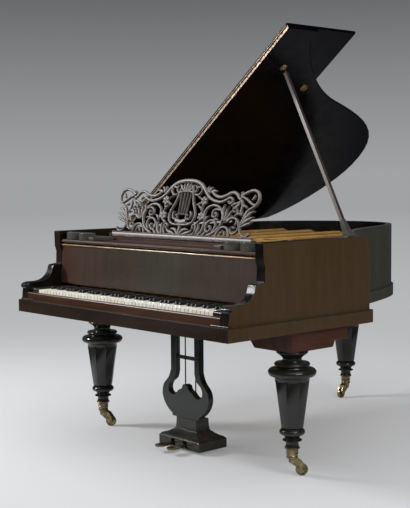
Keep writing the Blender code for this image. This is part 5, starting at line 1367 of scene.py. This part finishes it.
# %% Arm volutes
NOSE_DEPTH = -0.9395
NOSE_HEIGHT = 0.7130
VOLUTE = 0.0130
for node, body_side in (("bass_side", -1), ("treble_side", 1)):
    low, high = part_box(node)
    x0, x1 = sorted((body_side * 0.6955, body_side * 0.6560))
    bm = bmesh.new()
    length = x1 - x0
    profile = [(0, 0), (VOLUTE * 0.45, 0), (VOLUTE * 0.6, 0.0015), (VOLUTE * 0.9, 0),
               (VOLUTE, 0.0012), (VOLUTE, length - 0.0012), (VOLUTE * 0.9, length),
               (VOLUTE * 0.6, length - 0.0015), (VOLUTE * 0.45, length), (0, length)]
    spin(bm, profile, (x0, NOSE_DEPTH, NOSE_HEIGHT), 32, (1, 0, 0))
    on_body(mesh_piece("volute_" + node, bm, EBONISED, 30), "case", "ebonised")

# %% [markdown]
# ## Iron frame, strings and dampers
# The cast frame carries the strings' pull of several tonnes. Seen past the desk it is mostly its
# raised bars, in bronze varnish. The strings are tubes grown along straight edges, copper for the
# bass and steel for the rest, three times closer than the solid's comb of wires, as far as the
# picture needs.

# %% Inside the case
PLATE_TOP = 0.930
BORDER_TOP = 0.900
BORDER_START = -0.232
RAIL_TOP = 0.9305
STRUT_FALL = 0.52
STRUT_END = 0.58
STRUT_LOW = 0.906


def frame_piece():
    """The cast frame, its border stepping down behind the front bar and between the struts."""
    bm = clean_copy("iron_frame")
    for y in (BORDER_START, BORDER_START + 0.018, STRUT_FALL, STRUT_END):
        cut = bm.verts[:] + bm.edges[:] + bm.faces[:]
        bmesh.ops.bisect_plane(bm, geom=cut, plane_co=(0, y, 0), plane_no=(0, 1, 0))
    for vert in bm.verts:
        if vert.co.z > PLATE_TOP - 0.0005 and vert.co.y > BORDER_START + 0.009:
            vert.co.z = BORDER_TOP
        elif vert.co.z > BORDER_TOP and vert.co.y > STRUT_END - 0.001:
            vert.co.z = min(vert.co.z, STRUT_LOW)
    return for_node(rounded_edges(mesh_piece("cast_frame", bm, GILT), 0.003, 3), "iron_frame")




def damper_piece():
    """The damper heads under their low bronzed guide rail."""
    bm = clean_copy("damper_rail")
    for vert in bm.verts:
        vert.co.z = min(vert.co.z, RAIL_TOP)
    piece = rounded_edges(mesh_piece("fine_dampers", bm, EBONISED), 0.0006, 2)
    piece.data.materials.append(GILT)
    for face in piece.data.polygons:
        if face.center.z > RAIL_TOP - 0.0005:
            face.material_index = 1
    return for_node(piece, "damper_rail")


damper_piece()
frame_piece()
soundboard = frame["nodes"]["soundboard"]
for slot in soundboard.material_slots:
    slot.material = SPRUCE
STRING_HEIGHT = 0.9033
STRING_STEP = 0.0118
BASS_SHARE = 0.3
low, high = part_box("strings")
source = clean_copy("strings")
rear_points = sorted((v.co.x, v.co.y) for v in source.verts if v.co.y > -0.24)
source.free()


def string_rear(x):
    """Where a string at x ends, between the nearest two wires of the solid."""
    nearest = sorted(rear_points, key=lambda point: abs(point[0] - x))[:4]
    return min(point[1] for point in nearest) - 0.002


def string_set(name, xs, radius, finish):
    """A run of strings as one mesh."""
    points, edges = [], []
    for x in xs:
        edges.append((len(points), len(points) + 1))
        points += [(x, low[1] + 0.001, STRING_HEIGHT), (x, string_rear(x), STRING_HEIGHT)]
    piece = grown(name, WIRES, points, edges, Radius=radius, Sides=6, Finish=finish)
    return on_body(piece, "case", "steel_wire", "strings")


count = int((high[0] - low[0] - 0.004) / STRING_STEP)
xs = [low[0] + 0.002 + STRING_STEP * k for k in range(count)]
split = int(count * BASS_SHARE)
string_set("wound_strings", xs[:split], 0.0010, COPPER)
string_set("plain_strings", xs[split:], 0.0006, STEEL)
pins = [(x + shift, -0.330 + 0.008 * (k % 3), 0.9015) for k, x in enumerate(xs)
        for shift in (0.0, 0.0055)]
tuning_pins = grown("tuning_pins", STUDS, pins, Foot=0.0034, Head=0.0028, Length=0.020,
                    Turn=(0.0, 0.0, 0.0), Sides=8, Finish=STEEL)
on_body(tuning_pins, "case", "steel_wire")
print(count, "strings and", len(pins), "tuning pins")

# %% [markdown]
# ## Floor, backdrop and lamps
# The lamps are large soft boxes, as in a studio, so their mirror images are broad. The backdrop
# grey gets darker with height, as paper does when the lamps point at the floor. Only camera and
# mirror rays see it: the light on the piano comes from the lamps and from a plainer, dimmer
# grey. The floor is pale near the piano and fades to the backdrop far away, so no horizon shows.

# %% Floor, world and lamps
FLOOR_RADIUS = 60.0
FLOOR_GREY = "CFD1D3"
FLOOR_LIFT = 0.27
MIRRORED_SHARE = 0.45
MIRRORED_FLOOR = 0.10
MIRRORED_REACH = 3.0
HORIZON_GREY = "A0A2A4"
HIGH_GREY = "6A6B6D"


def make_floor():
    """A wide pale disc under the casters that fades to the backdrop's grey."""
    bm = bmesh.new()
    bmesh.ops.create_circle(bm, cap_ends=True, segments=96, radius=FLOOR_RADIUS)
    material, tree, shader = new_finish("studio_paper", Roughness=0.85, Specular_IOR_Level=0.2,
                                        Base_Color=hex_colour(FLOOR_GREY))
    coords = add(tree, "ShaderNodeTexCoord").outputs["Object"]
    reach = add(tree, "ShaderNodeVectorMath", {0: coords}, operation="LENGTH")
    path = add(tree, "ShaderNodeLightPath").outputs
    fade_end = add(tree, "ShaderNodeMapRange", {"Value": path["Is Camera Ray"],
                                                "To Min": MIRRORED_REACH, "To Max": 5.0})
    share = add(tree, "ShaderNodeMapRange", {"Value": reach.outputs["Value"], "From Min": 1.4,
                                             "From Max": fade_end.outputs["Result"]},
                interpolation_type="SMOOTHSTEP")
    far = add(tree, "ShaderNodeMapRange", {"Value": reach.outputs["Value"], "From Min": 4.0,
                                           "From Max": 30.0})
    glow = add(tree, "ShaderNodeEmission",
               {"Color": ramp(tree, far.outputs["Result"], ((0.0, "B7B9BA"), (0.35, "ABADAE"),
                                                            (1.0, HORIZON_GREY)))})
    strength = add(tree, "ShaderNodeMapRange", {"Value": path["Is Camera Ray"],
                                                "To Min": MIRRORED_FLOOR})
    tree.links.new(strength.outputs["Result"], glow.inputs["Strength"])
    lift = add(tree, "ShaderNodeEmission", {"Color": hex_colour("DADADA")})
    lifted = add(tree, "ShaderNodeMath", {0: path["Is Camera Ray"], 1: FLOOR_LIFT},
                 operation="MULTIPLY")
    near = add(tree, "ShaderNodeMixShader", {"Fac": lifted.outputs["Value"],
                                             1: shader.outputs["BSDF"],
                                             2: lift.outputs["Emission"]})
    mixed = add(tree, "ShaderNodeMixShader", {"Fac": share.outputs["Result"],
                                              1: near.outputs["Shader"],
                                              2: glow.outputs["Emission"]})
    ending = tree.nodes["Material Output"]
    tree.links.new(mixed.outputs["Shader"], ending.inputs["Surface"])
    floor = mesh_piece("studio_floor", bm, material)


def make_world():
    """A backdrop for camera and mirror rays, and a dim even grey for the rest."""
    world = bpy.data.worlds.new("studio_world")
    world.use_nodes = True
    bpy.context.scene.world = world
    tree = world.node_tree
    plain = tree.nodes["Background"]
    plain.inputs["Color"].default_value = hex_colour("A2A2A4")
    direction = add(tree, "ShaderNodeTexCoord").outputs["Generated"]
    height = add(tree, "ShaderNodeSeparateXYZ", {"Vector": direction}).outputs["Z"]
    share = add(tree, "ShaderNodeMapRange", {"Value": height, "From Min": 0.0, "From Max": 0.5})
    grey = ramp(tree, share.outputs["Result"], ((0.0, HORIZON_GREY), (0.30, HIGH_GREY),
                                                (1.0, "3C3D3F")))
    path = add(tree, "ShaderNodeLightPath").outputs
    strength = add(tree, "ShaderNodeMapRange", {"Value": path["Is Camera Ray"],
                                                "To Min": MIRRORED_SHARE})
    seen = add(tree, "ShaderNodeBackground", {"Color": grey,
                                              "Strength": strength.outputs["Result"]})
    either = add(tree, "ShaderNodeMath", {0: path["Is Camera Ray"], 1: path["Is Glossy Ray"]},
                 operation="MAXIMUM")
    mixed = add(tree, "ShaderNodeMixShader", {"Fac": either.outputs["Value"],
                                              1: plain.outputs["Background"],
                                              2: seen.outputs["Background"]})
    tree.links.new(mixed.outputs["Shader"], tree.nodes["World Output"].inputs["Surface"])


def soft_box(name, place, aim, size, power):
    """A square soft lamp that looks at a point."""
    lamp = bpy.data.lights.new(name, "AREA")
    lamp.shape = "RECTANGLE"
    lamp.size = size[0]
    lamp.size_y = size[1]
    lamp.energy = power
    holder = bpy.data.objects.new(name, lamp)
    bpy.context.scene.collection.objects.link(holder)
    look = (Vector(aim) - Vector(place)).to_track_quat("-Z", "Y").to_matrix().to_4x4()
    holder.matrix_world = Matrix.Translation(place) @ look


make_floor()
make_world()
soft_box("window_left", (-3.4, -3.0, 3.0), (0.0, -0.2, 0.6), (0.7, 0.9), 185)
soft_box("overhead", (0.4, -1.4, 4.4), (0.0, 0.0, 0.6), (6.0, 6.0), 98)
soft_box("right_fill", (4.4, -1.2, 3.2), (0.3, 0.0, 0.6), (2.2, 2.2), 75)
